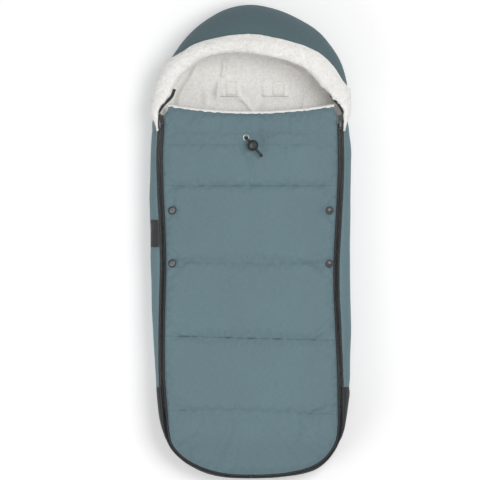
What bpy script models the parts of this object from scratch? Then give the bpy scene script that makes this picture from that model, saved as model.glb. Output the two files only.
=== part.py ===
"""A padded stroller footmuff that lies on its back, head end towards +Y, in metres."""

import math

import bmesh
import bpy
import numpy as np
from mathutils import Matrix, Vector

# Whole body, seen from above
LENGTH = 0.948
SIDE_HALF_WIDTH = 0.200
HOOD_REACH = 0.200
HOOD_NARROWING = 0.006
TOE_REACH = 0.188
TOE_NARROWING = 0.004
HOOD_NECK_LENGTH = 0.100
TOE_NARROWING_LENGTH = 0.170
HOOD_DRAWN_IN_SHARE = 0.042
TOE_ROUNDNESS = 2.75

# Cloth layers, from outside in
OUTER_THICKNESS = 0.0015
PADDING_THICKNESS = 0.010
LINING_THICKNESS = 0.004
SEAM_GAP = 0.0003
WALL_SEAM_GAP = 0.0008

# Wall section
SIDE_FOOT_INSET = 0.030
END_FOOT_INSET = 0.040
SIDE_SHOULDER_HEIGHT = 0.042
HOOD_SHOULDER_HEIGHT = 0.060
TOE_SHOULDER_HEIGHT = 0.030
RIM_HEIGHT = 0.078
HOOD_RISE = 0.058
RIM_LEAST_FOLD = 0.003
PADDING_RIM_DROP = 0.003

# Mouth of the hood
HOOD_LENGTH = 0.252
MOUTH_CORNER_ABOVE_START = 0.036
MOUTH_CORNER_LENGTH = 0.024
MOUTH_TURN_IN = 0.023
MOUTH_APEX_GAIN = 0.063
MOUTH_APEX_POWER = 3.5

# Sherpa cuff
CUFF_WIDTH = 0.037
CUFF_THICKNESS = 0.010
CUFF_CLEARANCE = 0.0024
CUFF_TAPER_LENGTH = 0.048

# Zips
ZIP_INSET = 0.020
ZIP_HALF_WIDTH = 0.0065
ZIP_TOE_LENGTH = 0.118
ZIP_TOE_INSET = 0.0045
ZIP_TOE_ROUNDNESS = 2.4
ZIP_TILT = math.radians(60)
ZIP_TILT_LENGTH = 0.050
ZIP_DROP = 0.024
ZIP_BELOW_RIM = 0.0008
TAPE_THICKNESS = 0.0008
COIL_HEIGHT = 0.0024
COIL_WIDTH = 0.0020
COIL_GAP = 0.0016
ZIP_TAIL_LENGTH = 0.058
ZIP_TAB_LENGTH = 0.008

# Sliders and pulls
SLIDER_BELOW_CORNER = 0.0127
SLIDER_LENGTH = 0.016
SLIDER_WIDTH = 0.0120
SLIDER_PLATE = 0.0013
SLIDER_CLEARANCE = 0.0004
SLIDER_LIP = 0.0010
SLIDER_POST = 0.0009
LUG_HEIGHT = 0.0040
LUG_LENGTH = 0.0075
LUG_WIDTH = 0.0026
PULL_PIN_RADIUS = 0.0008
PULL_LENGTH = 0.021
PULL_WIDTH = 0.0078
PULL_THICKNESS = 0.0016
PULL_CLEARANCE = 0.0004
STOP_LENGTH = 0.0025

# Front cover
FOLD_SHARE = 0.5825
LOWER_FOLD_ABOVE_TOE = 0.020
TOE_CORNER_LENGTH = 0.008
COVER_TOP_RISE = 0.014
COVER_CORNER_CUT = 0.016
COVER_CORNER_DROP = 0.008
COVER_CORNER_LENGTH = 0.016
COVER_CROWN = 0.016
COVER_LOFT = 0.006
COVER_LOFT_WIDTH = 0.014
COVER_EDGE_LIFT = 0.001
COVER_LINING_DROP = 0.004
COVER_LINING_CROWN_SHARE = 0.8
COVER_CROWN_POWER = 2.2
HINGE_LIFT = 0.001
QUILT_SHARES = (0.7559, 0.4983, 0.2424)
TOE_QUILT_DROP = 0.004
QUILT_DEPTH = 0.006
QUILT_WIDTH = 0.010
QUILT_FADE = 0.030
CHANNEL_DROP = 0.038
CHANNEL_SPAN = 0.023
CHANNEL_DEPTH = 0.0025
CHANNEL_SEAM_WIDTH = 0.004
CHANNEL_GROOVE = 0.0045
PIPING_RADIUS = 0.0030

# Snaps
SNAP_FROM_ZIP = 0.023
SNAP_FROM_FOLD = 0.053
SNAP_RADIUS = 0.008
SNAP_HEIGHT = 0.0024
SNAP_BACK_RADIUS = 0.007
SNAP_BACK_HEIGHT = 0.0016
SNAP_SEAT = 0.0005

# Drawcord, eyelet and cord lock
EYELET_X = -0.010
EYELET_BORE = 0.0036
EYELET_WALL = 0.0006
EYELET_FLANGE = 0.0028
EYELET_FLANGE_HEIGHT = 0.0008
CORD_RADIUS = 0.0012
CORD_SPACING = 0.0028
CORD_END_FROM_ZIP = 0.030
CORD_TAIL = 0.006
CORD_HANG = 0.0046
KNOT_RADIUS = 0.0036
LOCK_FROM_EYELET_X = 0.0135
LOCK_FROM_EYELET_Y = 0.016
LOCK_RADIUS = 0.011
LOCK_TOP = 0.0085
LOCK_BORE = 0.0060
LOCK_BORE_FLOOR = 0.0085
LOCK_SLOT_WIDTH = 0.0064
LOCK_SLOT_HEIGHT = 0.0040
LOCK_SLIDE = 0.005
LOCK_REST_LIFT = 0.0016
BUTTON_CLEARANCE = 0.0004
BUTTON_FOOT = 0.0038
BUTTON_CAP_GAP = 0.0030
BUTTON_CAP_HEIGHT = 0.0030
BUTTON_CAP_RADIUS = 0.0072
BUTTON_SLOT_LOW = 0.0017
BUTTON_SLOT_HIGH = 0.0042
SPRING_RADIUS = 0.0036
SPRING_WIRE = 0.0003
SPRING_TURNS = 3

# Harness slots and flaps
FLAP_FREE_ABOVE_CORNER = 0.034
FLAP_LENGTH = 0.034
FLAP_THICKNESS = 0.0022
FLAP_SPANS = (("harness_flap_left", -0.066, -0.018), ("harness_flap_right", 0.020, 0.078))
SLOT_MARGIN = 0.003
SLOT_BREADTH = 0.012
SLOT_ABOVE_EDGE = 0.006
WAIST_SLOT_FROM_ZIP = 0.080
WAIST_SLOT_BELOW_FOLD = 0.020
WAIST_SLOT_LENGTH = 0.060
CROTCH_SLOT_BELOW_FOLD = 0.100
CROTCH_SLOT_LENGTH = 0.050

# Label
LABEL_ABOVE_FOLD = 0.034
LABEL_LENGTH = 0.054
LABEL_THICKNESS = 0.0006
CUTTER_OVERRUN = 0.010

# Shares of a wall's section: angles along the foot curve, then along the top curve
FOOT_SHARES = (1.0, 0.62, 0.3)
TOP_SHARES = (0.0, 0.28, 0.55, 0.8, 1.0)
LABEL_SHARES = (0.28, 0.55, 0.8)
# Shares of a quilt seam's width, where the cover has rows of points beside the seam
SEAM_ROW_SHARES = (-1.9, -0.9, 0.0, 0.9, 1.9)
CHANNEL_ROW_SHARES = (-0.9, 0.0, 0.9)
# Shares of the cover's half width, where it has columns of points
COLUMN_SHARES = (0.0, 0.28, 0.58, 0.84, 0.965, 1.0)
TOP_EDGE_SHARES = (0.3, 0.6, 0.85, 1.0)
TOE_ROW_SHARES = (0.0, 0.12, 0.32, 0.58, 0.8, 0.93, 1.0)
TOE_STATION_SHARES = (0.0, 0.04, 0.12, 0.21, 0.3, 0.39, 0.48, 0.58, 0.72, 0.86, 1.0)
# Shares of the cuff's thickness: at its thin edges, and where it tapers out
CUFF_EDGE_SHARE = 0.12
CUFF_TAPER_SHARE = 0.3
# Shares of a snap cap's radius and height: its rolled rim and its dished middle
SNAP_RIM_SHARE = 0.86
SNAP_DISH_SHARE = 0.6
SNAP_DISH_HEIGHT_SHARE = 0.7
# Shares of the cord's run inside its channel, and of its rise to the lock
CORD_RUN_SHARES = (1.0, 0.75, 0.5, 0.25)
CORD_RISE_SHARE = 0.5
CORD_BEND_RADII = 2.5
# Shares of the button cap's radius and height, and of the pull's width and length
BUTTON_EDGE_SHARES = (0.5, 0.85, 0.9)
PULL_TIP_SHARES = (0.6, 0.85)

HOOD_HALF_WIDTH = SIDE_HALF_WIDTH - HOOD_NARROWING
TOE_HALF_WIDTH = SIDE_HALF_WIDTH - TOE_NARROWING
HOOD_START = LENGTH / 2 - HOOD_LENGTH
MOUTH_CORNER = HOOD_START + MOUTH_CORNER_ABOVE_START
ZIP_X = SIDE_HALF_WIDTH - ZIP_INSET
ZIP_STRAIGHT_END = ZIP_TOE_LENGTH - LENGTH / 2
ZIP_TAIL_END = MOUTH_CORNER + ZIP_TAIL_LENGTH
SLIDER_Y = MOUTH_CORNER - SLIDER_BELOW_CORNER
PULL_PIN_ABOVE_ZIP = COIL_HEIGHT / 2 + SLIDER_CLEARANCE + SLIDER_PLATE + LUG_HEIGHT / 2
COVER_TOP_Y = MOUTH_CORNER
COVER_CORNER_START = COVER_TOP_Y - COVER_CORNER_DROP
LOWER_FOLD_Y = ZIP_STRAIGHT_END + LOWER_FOLD_ABOVE_TOE
COVER_RUN = COVER_TOP_Y - LOWER_FOLD_Y
FOLD_Y = LOWER_FOLD_Y + FOLD_SHARE * COVER_RUN
TOE_QUILT_Y = LOWER_FOLD_Y - TOE_QUILT_DROP
QUILT_YS = tuple(LOWER_FOLD_Y + share * COVER_RUN for share in QUILT_SHARES) + (TOE_QUILT_Y,)
CHANNEL_YS = (COVER_TOP_Y - CHANNEL_DROP, COVER_TOP_Y - CHANNEL_DROP - CHANNEL_SPAN)
SNAP_X = ZIP_X - SNAP_FROM_ZIP
EYELET_Y = (CHANNEL_YS[0] + CHANNEL_YS[1]) / 2
CORD_END_X = ZIP_X - CORD_END_FROM_ZIP
LOCK_X = EYELET_X + LOCK_FROM_EYELET_X
LOCK_Y = EYELET_Y - LOCK_FROM_EYELET_Y
FLAP_FREE_Y = MOUTH_CORNER + FLAP_FREE_ABOVE_CORNER
WAIST_SLOT_X = ZIP_X - WAIST_SLOT_FROM_ZIP
WAIST_SLOT_Y = FOLD_Y - WAIST_SLOT_BELOW_FOLD
CROTCH_SLOT_Y = FOLD_Y - CROTCH_SLOT_BELOW_FOLD
LABEL_TOP_Y = FOLD_Y + LABEL_ABOVE_FOLD
HOOD_BASE_Y = LENGTH / 2 - HOOD_REACH
TOE_BASE_Y = TOE_REACH - LENGTH / 2
DENSE_COUNT = 1500
PADDING_DEPTH = OUTER_THICKNESS + SEAM_GAP
LINING_DEPTH = PADDING_DEPTH + PADDING_THICKNESS + SEAM_GAP
WALL_THICKNESS = LINING_DEPTH + LINING_THICKNESS
LAYERS = (
    ("outer", 0.0, OUTER_THICKNESS),
    ("padding", PADDING_DEPTH, PADDING_DEPTH + PADDING_THICKNESS),
    ("lining", LINING_DEPTH, WALL_THICKNESS),
)
COVER_HALF_WIDTH = ZIP_X - ZIP_HALF_WIDTH - SEAM_GAP


def clear_scene():
    for old in list(bpy.data.objects):
        bpy.data.objects.remove(old, do_unlink=True)


def make_material(name, colour, roughness, metallic=0.0):
    material = bpy.data.materials.new(name)
    material.use_nodes = True
    shader = material.node_tree.nodes["Principled BSDF"]
    shader.inputs["Base Color"].default_value = (*colour, 1.0)
    shader.inputs["Roughness"].default_value = roughness
    shader.inputs["Metallic"].default_value = metallic
    return material


def make_materials():
    return {
        "shell_fabric": make_material("shell_fabric", (0.14, 0.21, 0.24), 0.85),
        "hood_fabric": make_material("hood_fabric", (0.095, 0.155, 0.18), 0.85),
        "gusset_fabric": make_material("gusset_fabric", (0.020, 0.022, 0.024), 0.85),
        "padding": make_material("padding", (0.80, 0.80, 0.78), 0.95),
        "fleece": make_material("fleece", (0.70, 0.69, 0.66), 0.95),
        "sherpa": make_material("sherpa", (0.80, 0.79, 0.77), 0.95),
        "zip_tape": make_material("zip_tape", (0.028, 0.032, 0.034), 0.75),
        "dark_metal": make_material("dark_metal", (0.060, 0.060, 0.062), 0.35, 0.8),
        "silver_metal": make_material("silver_metal", (0.62, 0.63, 0.64), 0.25, 1.0),
        "black_plastic": make_material("black_plastic", (0.016, 0.016, 0.018), 0.4),
        "cord": make_material("cord", (0.020, 0.021, 0.023), 0.8),
        "label": make_material("label", (0.012, 0.012, 0.013), 0.7),
    }


def finish_object(name, mesh, material):
    mesh.materials.append(material)
    thing = bpy.data.objects.new(name, mesh)
    bpy.context.scene.collection.objects.link(thing)
    return thing


def mesh_from_bmesh(name, work, smooth_angle=40):
    bmesh.ops.recalc_face_normals(work, faces=work.faces[:])
    mesh = bpy.data.meshes.new(name)
    work.to_mesh(mesh)
    work.free()
    mesh.shade_smooth()
    mesh.set_sharp_from_angle(angle=math.radians(smooth_angle))
    return mesh


def layer_solid(name, top, bottom, material):
    """Close two point grids of the same shape into one solid layer.

    Both grids are split along the same diagonals, so that stacked layers nest.
    """
    rows, columns = top.shape[:2]
    work = bmesh.new()
    above = [[work.verts.new(top[r, c]) for c in range(columns)] for r in range(rows)]
    below = [[work.verts.new(bottom[r, c]) for c in range(columns)] for r in range(rows)]
    for r in range(rows - 1):
        for c in range(columns - 1):
            for grid in (above, below):
                near, far = (grid[r][c], grid[r][c + 1]), (grid[r + 1][c], grid[r + 1][c + 1])
                if (c < columns / 2) == (r < rows / 2):
                    work.faces.new((near[0], near[1], far[1]))
                    work.faces.new((near[0], far[1], far[0]))
                else:
                    work.faces.new((near[0], near[1], far[0]))
                    work.faces.new((near[1], far[1], far[0]))
    for r in range(rows - 1):
        for c in (0, columns - 1):
            work.faces.new((above[r][c], above[r + 1][c], below[r + 1][c], below[r][c]))
    for c in range(columns - 1):
        for r in (0, rows - 1):
            work.faces.new((above[r][c], above[r][c + 1], below[r][c + 1], below[r][c]))
    return finish_object(name, mesh_from_bmesh(name, work), material)


def swept_solid(name, sections, material):
    """Join a list of like closed sections, one after another, with flat ends."""
    work = bmesh.new()
    rings = [[work.verts.new(point) for point in section] for section in sections]
    count = len(rings[0])
    for near, far in zip(rings, rings[1:]):
        for i in range(count):
            k = (i + 1) % count
            work.faces.new((near[i], near[k], far[k], far[i]))
    work.faces.new(rings[0])
    work.faces.new(rings[-1])
    return finish_object(name, mesh_from_bmesh(name, work), material)


def turned_solid(name, profile, centre, material, steps=20, tilt=None, closed=False):
    """Turn a profile of (radius, height) about an upright axis through centre.

    A closed profile makes a ring; an open one starts and ends on the axis.
    """
    work = bmesh.new()
    rings = []
    for radius, height in profile:
        if radius <= 0:
            rings.append([work.verts.new((0, 0, height))])
            continue
        angles = [2 * math.pi * i / steps for i in range(steps)]
        rings.append([work.verts.new((radius * math.cos(a), radius * math.sin(a), height)) for a in angles])
    pairs = list(zip(rings, rings[1:]))
    if closed:
        pairs.append((rings[-1], rings[0]))
    for near, far in pairs:
        for i in range(steps):
            k = (i + 1) % steps
            corners = [near[i % len(near)], near[k % len(near)], far[k % len(far)], far[i % len(far)]]
            work.faces.new(list(dict.fromkeys(corners)))
    thing = finish_object(name, mesh_from_bmesh(name, work), material)
    place = Matrix.Translation(Vector(centre))
    thing.matrix_world = place @ tilt if tilt else place
    return thing


def cut(target, cutter):
    cutter.hide_render = True
    cutter.display_type = "WIRE"
    modifier = target.modifiers.new("cut", "BOOLEAN")
    modifier.operation = "DIFFERENCE"
    modifier.solver = "EXACT"
    modifier.object = cutter


def box_object(name, low, high, turn=None, centre=(0, 0, 0), material=None):
    """A box between two corners, turned about its own origin and then moved to centre."""
    work = bmesh.new()
    bmesh.ops.create_cube(work, size=1)
    low, high = Vector(low), Vector(high)
    for vertex in work.verts:
        vertex.co = Vector([low[i] + (vertex.co[i] + 0.5) * (high[i] - low[i]) for i in range(3)])
    mesh = mesh_from_bmesh(name, work)
    if material:
        mesh.materials.append(material)
    thing = bpy.data.objects.new(name, mesh)
    bpy.context.scene.collection.objects.link(thing)
    place = Matrix.Translation(Vector(centre))
    thing.matrix_world = place @ turn if turn else place
    return thing


def ease(value, start, length):
    """Rise from 0 to 1 as value goes from start to start plus length, level at both ends."""
    share = np.clip((value - start) / length, 0, 1)
    return share * share * (3 - 2 * share)


class Rail:
    """A plan curve with its points looked up by distance, and its direction to the inside."""

    def __init__(self, x, y, inside):
        self.x, self.y = np.asarray(x), np.asarray(y)
        steps = np.hypot(np.diff(self.x), np.diff(self.y))
        self.distance = np.concatenate(([0], np.cumsum(steps)))
        self.length = self.distance[-1]
        along = np.gradient(self.x, self.distance), np.gradient(self.y, self.distance)
        size = np.hypot(*along)
        self.nx, self.ny = along[1] / size, -along[0] / size
        if inside < 0:
            self.nx, self.ny = -self.nx, -self.ny

    def at(self, distance):
        read = [np.interp(distance, self.distance, v) for v in (self.x, self.y, self.nx, self.ny)]
        size = math.hypot(read[2], read[3])
        return np.array(read[:2]), np.array(read[2:]) / size

    def nearest(self, point):
        return self.distance[np.argmin(np.hypot(self.x - point[0], self.y - point[1]))]

    def at_y(self, y):
        """The distance at which the curve, which only goes down, passes a given y."""
        return np.interp(-y, -self.y, self.distance)


def superellipse_quarter(half_width, reach, roundness, count):
    """From the end on the axis to the side: offsets across and along."""
    angle = np.linspace(0, math.pi / 2, count)
    power = 2 / roundness
    return half_width * np.sin(angle) ** power, reach * np.cos(angle) ** power


def hood_quarter():
    """A quarter ellipse drawn in between its ends, from the apex to the side."""
    angle = np.linspace(0, math.pi / 2, DENSE_COUNT)
    drawn = 1 - HOOD_DRAWN_IN_SHARE * np.sin(2 * angle) ** 2
    return HOOD_HALF_WIDTH * np.sin(angle) * drawn, HOOD_REACH * np.cos(angle) * drawn


def build_outline():
    across, along = hood_quarter()
    side_y = np.linspace(HOOD_BASE_Y, TOE_BASE_Y, DENSE_COUNT)[1:-1]
    neck = ease(side_y, HOOD_BASE_Y - HOOD_NECK_LENGTH, HOOD_NECK_LENGTH)
    narrowing = ease(-side_y, -TOE_BASE_Y - TOE_NARROWING_LENGTH, TOE_NARROWING_LENGTH)
    side_x = (
        SIDE_HALF_WIDTH
        - (SIDE_HALF_WIDTH - HOOD_HALF_WIDTH) * neck
        - (SIDE_HALF_WIDTH - TOE_HALF_WIDTH) * narrowing
    )
    toe_x, toe_y = superellipse_quarter(TOE_HALF_WIDTH, TOE_REACH, TOE_ROUNDNESS, DENSE_COUNT)
    x = np.concatenate((across, side_x, toe_x[::-1]))
    y = np.concatenate((HOOD_BASE_Y + along, side_y, TOE_BASE_Y - toe_y[::-1]))
    return Rail(x, y, 1)


OUTLINE = build_outline()


def hood_share(y):
    """0 where the hood starts and 1 at its end."""
    return np.clip((y - HOOD_START) / (LENGTH / 2 - HOOD_START), 0, 1)


def mouth_inset(y):
    """How far the hood's mouth edge lies inside the outline."""
    beside_zip, _ = OUTLINE.at(OUTLINE.at_y(min(y, MOUTH_CORNER)))
    at_side = beside_zip[0] - ZIP_X - ZIP_HALF_WIDTH
    corner = MOUTH_TURN_IN * ease(y, MOUTH_CORNER, MOUTH_CORNER_LENGTH)
    return at_side + corner + MOUTH_APEX_GAIN * hood_share(y) ** MOUTH_APEX_POWER


def rim_height(y):
    return RIM_HEIGHT + HOOD_RISE * ease(y, MOUTH_CORNER, LENGTH / 2 - MOUTH_CORNER)


def zip_height(y):
    drop = ZIP_DROP * ease(-y, -ZIP_STRAIGHT_END, ZIP_STRAIGHT_END + LENGTH / 2)
    return rim_height(y) - ZIP_BELOW_RIM - drop


def zip_tilt(y):
    return ZIP_TILT * ease(-y, -ZIP_STRAIGHT_END, ZIP_TILT_LENGTH)


def build_zip_rail():
    """From the tail inside the hood's mouth, down the side and round to the toe's middle."""
    mouth = []
    for outline_y in np.linspace(ZIP_TAIL_END, HOOD_START, 240):
        point, inward = OUTLINE.at(OUTLINE.at_y(outline_y))
        mouth.append(point + inward * mouth_inset(outline_y))
    mouth = np.array(mouth)
    edge = Rail(mouth[:, 0], mouth[:, 1], 1)
    above = edge.y > MOUTH_CORNER
    x = (edge.x + edge.nx * ZIP_HALF_WIDTH)[above]
    y = (edge.y + edge.ny * ZIP_HALF_WIDTH)[above]
    straight_y = np.linspace(MOUTH_CORNER, ZIP_STRAIGHT_END, DENSE_COUNT)[:-1]
    reach = ZIP_STRAIGHT_END + LENGTH / 2 - ZIP_TOE_INSET
    toe_x, toe_y = superellipse_quarter(ZIP_X, reach, ZIP_TOE_ROUNDNESS, DENSE_COUNT)
    x = np.concatenate((x, np.full(len(straight_y), ZIP_X), toe_x[::-1]))
    y = np.concatenate((y, straight_y, ZIP_STRAIGHT_END - toe_y[::-1]))
    return Rail(x, y, 1)


ZIP_RAIL = build_zip_rail()


def mirror(points, side):
    """Take points of the right side to the given side."""
    points = np.array(points, dtype=float)
    points[..., 0] *= side
    return points


def zip_frame(distance):
    """Centre of the zip, the direction to the inside along its band, and the band's upward normal."""
    (x, y), (nx, ny) = ZIP_RAIL.at(distance)
    tilt = zip_tilt(y)
    lean, rise = math.cos(tilt), math.sin(tilt)
    centre = np.array((x, y, zip_height(y)))
    inward = np.array((nx * lean, ny * lean, rise))
    up = np.array((-nx * rise, -ny * rise, lean))
    return centre, inward, up


def foot_size(y):
    """Inset of the wall's foot and height of its shoulder at a point of the outline."""
    hood = ease(hood_share(y), 0, 1)
    toe = ease(-y, -TOE_BASE_Y, TOE_REACH)
    inset = SIDE_FOOT_INSET + (END_FOOT_INSET - SIDE_FOOT_INSET) * max(hood, toe)
    shoulder = SIDE_SHOULDER_HEIGHT + (HOOD_SHOULDER_HEIGHT - SIDE_SHOULDER_HEIGHT) * hood
    return inset, shoulder + (TOE_SHOULDER_HEIGHT - SIDE_SHOULDER_HEIGHT) * toe


def wall_section(edge, inward, rim, depth, foot=FOOT_SHARES, top=TOP_SHARES):
    """Points of one cloth surface of the wall: a quarter curve up to the shoulder, one on to the rim.

    Depth is how far the surface lies inside the outer one; the rim is the outer surface's edge.
    """
    inset, shoulder = foot_size(edge[1])
    flat_rim = np.array(rim[:2])
    rim_inset = float(np.dot(flat_rim - edge, inward))
    drop = PADDING_RIM_DROP if depth > OUTER_THICKNESS else 0.0
    least = RIM_LEAST_FOLD if depth > OUTER_THICKNESS else SEAM_GAP
    fold = max(0.0, depth + least - max(rim_inset, 0.0)) if depth > 0 else 0.0
    edge_in = edge + inward * depth
    rim_in = flat_rim + inward * fold
    points = []
    for share in foot:
        angle = share * math.pi / 2
        a = inset - (inset - depth) * math.cos(angle)
        points.append((*(edge + inward * a), shoulder - (shoulder - depth) * math.sin(angle)))
    for share in top:
        angle = share * math.pi / 2
        plan = edge_in + (rim_in - edge_in) * (1 - math.cos(angle))
        points.append((*plan, shoulder + (rim[2] - depth - drop - shoulder) * math.sin(angle)))
    return points


def hood_station(distance):
    edge, inward = OUTLINE.at(distance)
    plan = edge + inward * mouth_inset(edge[1])
    return edge, inward, (*plan, rim_height(edge[1]))


def zip_station(distance):
    """The wall's outline point, its inward direction and its rim at a distance along the zip."""
    centre, inward, _ = zip_frame(distance)
    rim = centre - inward * ZIP_HALF_WIDTH
    beside_toe = centre[1] < TOE_BASE_Y
    along = OUTLINE.nearest(centre[:2]) if beside_toe else OUTLINE.at_y(centre[1])
    edge, outline_inward = OUTLINE.at(along)
    tilt = zip_tilt(centre[1])
    beside_tape = ZIP_BELOW_RIM * math.cos(tilt) - 2 * TAPE_THICKNESS * math.sin(tilt)
    return edge, outline_inward, (rim[0], rim[1], rim[2] + beside_tape)


def side_distances():
    top = ZIP_RAIL.at_y(HOOD_START)
    bottom = toe_distances()[0]
    return list(np.linspace(top, bottom, 6))


def toe_distances():
    start = ZIP_RAIL.at_y(LOWER_FOLD_Y - TOE_CORNER_LENGTH)
    return [start + share * (ZIP_RAIL.length - start) for share in TOE_STATION_SHARES]


def hood_distances():
    """From the apex to where the hood starts."""
    corner = OUTLINE.at_y(ZIP_TAIL_END)
    arc = list(np.linspace(0, corner, 9))
    turned = MOUTH_CORNER + MOUTH_CORNER_LENGTH
    ys = ((turned + ZIP_TAIL_END) / 2, turned, MOUTH_CORNER + MOUTH_CORNER_LENGTH / 2, MOUTH_CORNER)
    rest = [OUTLINE.at_y(y) for y in ys]
    rest.append(OUTLINE.at_y((MOUTH_CORNER + HOOD_START) / 2))
    rest.append(OUTLINE.at_y(HOOD_START + SEAM_GAP))
    return arc + rest


def tail_distances():
    """Places along the zip beside the hood's stations, from the tail's end to the mouth's corner."""
    places = []
    for distance in hood_distances():
        edge, _, rim = hood_station(distance)
        if MOUTH_CORNER <= edge[1] + SEAM_GAP and edge[1] <= ZIP_TAIL_END + SEAM_GAP:
            places.append(ZIP_RAIL.nearest(rim[:2]))
    return places


def across_both(stations, make):
    """Run make over right-hand stations that start at the axis, as one strip from left to right."""
    right = [make(station) for station in stations]
    left = [mirror(points, -1) for points in right[:0:-1]]
    return np.array(left + right)


def build_hood(materials):
    slots = {"outer": "hood_fabric", "padding": "padding", "lining": "fleece"}
    for layer, shallow, deep in LAYERS:
        top = across_both(hood_distances(), lambda d: wall_section(*hood_station(d), shallow))
        bottom = across_both(hood_distances(), lambda d: wall_section(*hood_station(d), deep))
        layer_solid(f"hood_{layer}", top, bottom, materials[slots[layer]])


def build_sides(materials):
    slots = {"outer": "shell_fabric", "padding": "padding", "lining": "fleece"}
    for name, side in (("side_left", -1), ("side_right", 1)):
        for layer, shallow, deep in LAYERS:
            stations = side_distances()
            top = mirror([wall_section(*zip_station(d), shallow) for d in stations], side)
            bottom = mirror([wall_section(*zip_station(d), deep) for d in stations], side)
            for skin in (top, bottom):
                skin[0, :, 1] -= WALL_SEAM_GAP
                skin[-1, :, 1] += WALL_SEAM_GAP
            layer_solid(f"{name}_{layer}", top, bottom, materials[slots[layer]])


def build_toe(materials):
    slots = {"outer": "gusset_fabric", "padding": "padding", "lining": "fleece"}
    stations = toe_distances()[::-1]
    for layer, shallow, deep in LAYERS:
        top = across_both(stations, lambda d: wall_section(*zip_station(d), shallow))
        bottom = across_both(stations, lambda d: wall_section(*zip_station(d), deep))
        layer_solid(f"toe_{layer}", top, bottom, materials[slots[layer]])


def back_outline():
    """Corner points of the back panel, just inside the foot of the walls, right side then left."""
    right = []
    for distance in hood_distances()[:-1]:
        edge, inward = OUTLINE.at(distance)
        right.append(edge + inward * (foot_size(edge[1])[0] + SEAM_GAP))
    for distance in side_distances()[:-1] + toe_distances():
        edge, inward, _ = zip_station(distance)
        right.append(edge + inward * (foot_size(edge[1])[0] + SEAM_GAP))
    left = [point * np.array((-1, 1)) for point in right[-2:0:-1]]
    return right + left


def slot_boxes():
    """Plan corners of the slots that the harness straps pass through."""
    boxes = []
    low_y = FLAP_FREE_Y + SLOT_ABOVE_EDGE
    for _, left, right in FLAP_SPANS:
        boxes.append((left + SLOT_MARGIN, low_y, right - SLOT_MARGIN, low_y + SLOT_BREADTH))
    for side in (-1, 1):
        x, half = side * WAIST_SLOT_X, SLOT_BREADTH / 2
        end = WAIST_SLOT_Y + WAIST_SLOT_LENGTH
        boxes.append((x - half, WAIST_SLOT_Y, x + half, end))
    half = CROTCH_SLOT_LENGTH / 2
    boxes.append((-half, CROTCH_SLOT_Y, half, CROTCH_SLOT_Y + SLOT_BREADTH))
    return boxes


def build_back(materials):
    slots = {"outer": "shell_fabric", "padding": "padding", "lining": "fleece"}
    outline = back_outline()
    cutters = []
    for number, (x0, y0, x1, y1) in enumerate(slot_boxes()):
        low = (x0, y0, -CUTTER_OVERRUN)
        high = (x1, y1, WALL_THICKNESS + CUTTER_OVERRUN)
        cutters.append(box_object(f"slot_cutter_{number}", low, high))
    for layer, low, high in LAYERS:
        rings = [[(*point, z) for point in outline] for z in (low, high)]
        plate = swept_solid(f"back_{layer}", rings, materials[slots[layer]])
        for cutter in cutters:
            cut(plate, cutter)


def cuff_station(distance):
    """Lower and upper points of the cuff over the hood's edge at one station."""
    edge, inward, rim = hood_station(distance)
    grow = float(ease(edge[1], HOOD_START, CUFF_TAPER_LENGTH))
    width = min(CUFF_WIDTH, mouth_inset(edge[1]))
    start = math.acos(np.clip(width / max(mouth_inset(edge[1]), width), 0, 1)) / (math.pi / 2)
    shares = [start + (1 - start) * k / 6 for k in range(7)]
    low, high = [], []
    for k, share in enumerate(shares):
        plump = math.sqrt(max(0.0, 1 - (k / 3 - 1) ** 2))
        thick = CUFF_EDGE_SHARE + (1 - CUFF_EDGE_SHARE) * plump
        lift = CUFF_CLEARANCE + CUFF_THICKNESS * thick * (CUFF_TAPER_SHARE + (1 - CUFF_TAPER_SHARE) * grow)
        low += wall_section(edge, inward, rim, -CUFF_CLEARANCE, (), (share,))
        high += wall_section(edge, inward, rim, -lift, (), (share,))
    return low, high


def build_cuff(materials):
    low = across_both(hood_distances(), lambda d: cuff_station(d)[0])
    high = across_both(hood_distances(), lambda d: cuff_station(d)[1])
    layer_solid("hood_cuff", high, low, materials["sherpa"])


def band_sections(stations, side, inner, outer):
    """Sections of one zip half: thin tape with the thicker coil along the meeting edge.

    inner and outer are how far the coil's free face and the tape's sewn edge lie from the middle.
    """
    back = inner + math.copysign(COIL_WIDTH, inner)
    tape, coil = TAPE_THICKNESS / 2, COIL_HEIGHT / 2
    shape = (
        (outer, -tape), (back, -tape), (back, -coil), (inner, -coil),
        (inner, coil), (back, coil), (back, tape), (outer, tape),
    )
    sections = []
    for distance in stations:
        centre, inward, up = zip_frame(distance)
        points = [centre + inward * i + up * j for i, j in shape]
        sections.append(mirror(points, side))
    return sections


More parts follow.
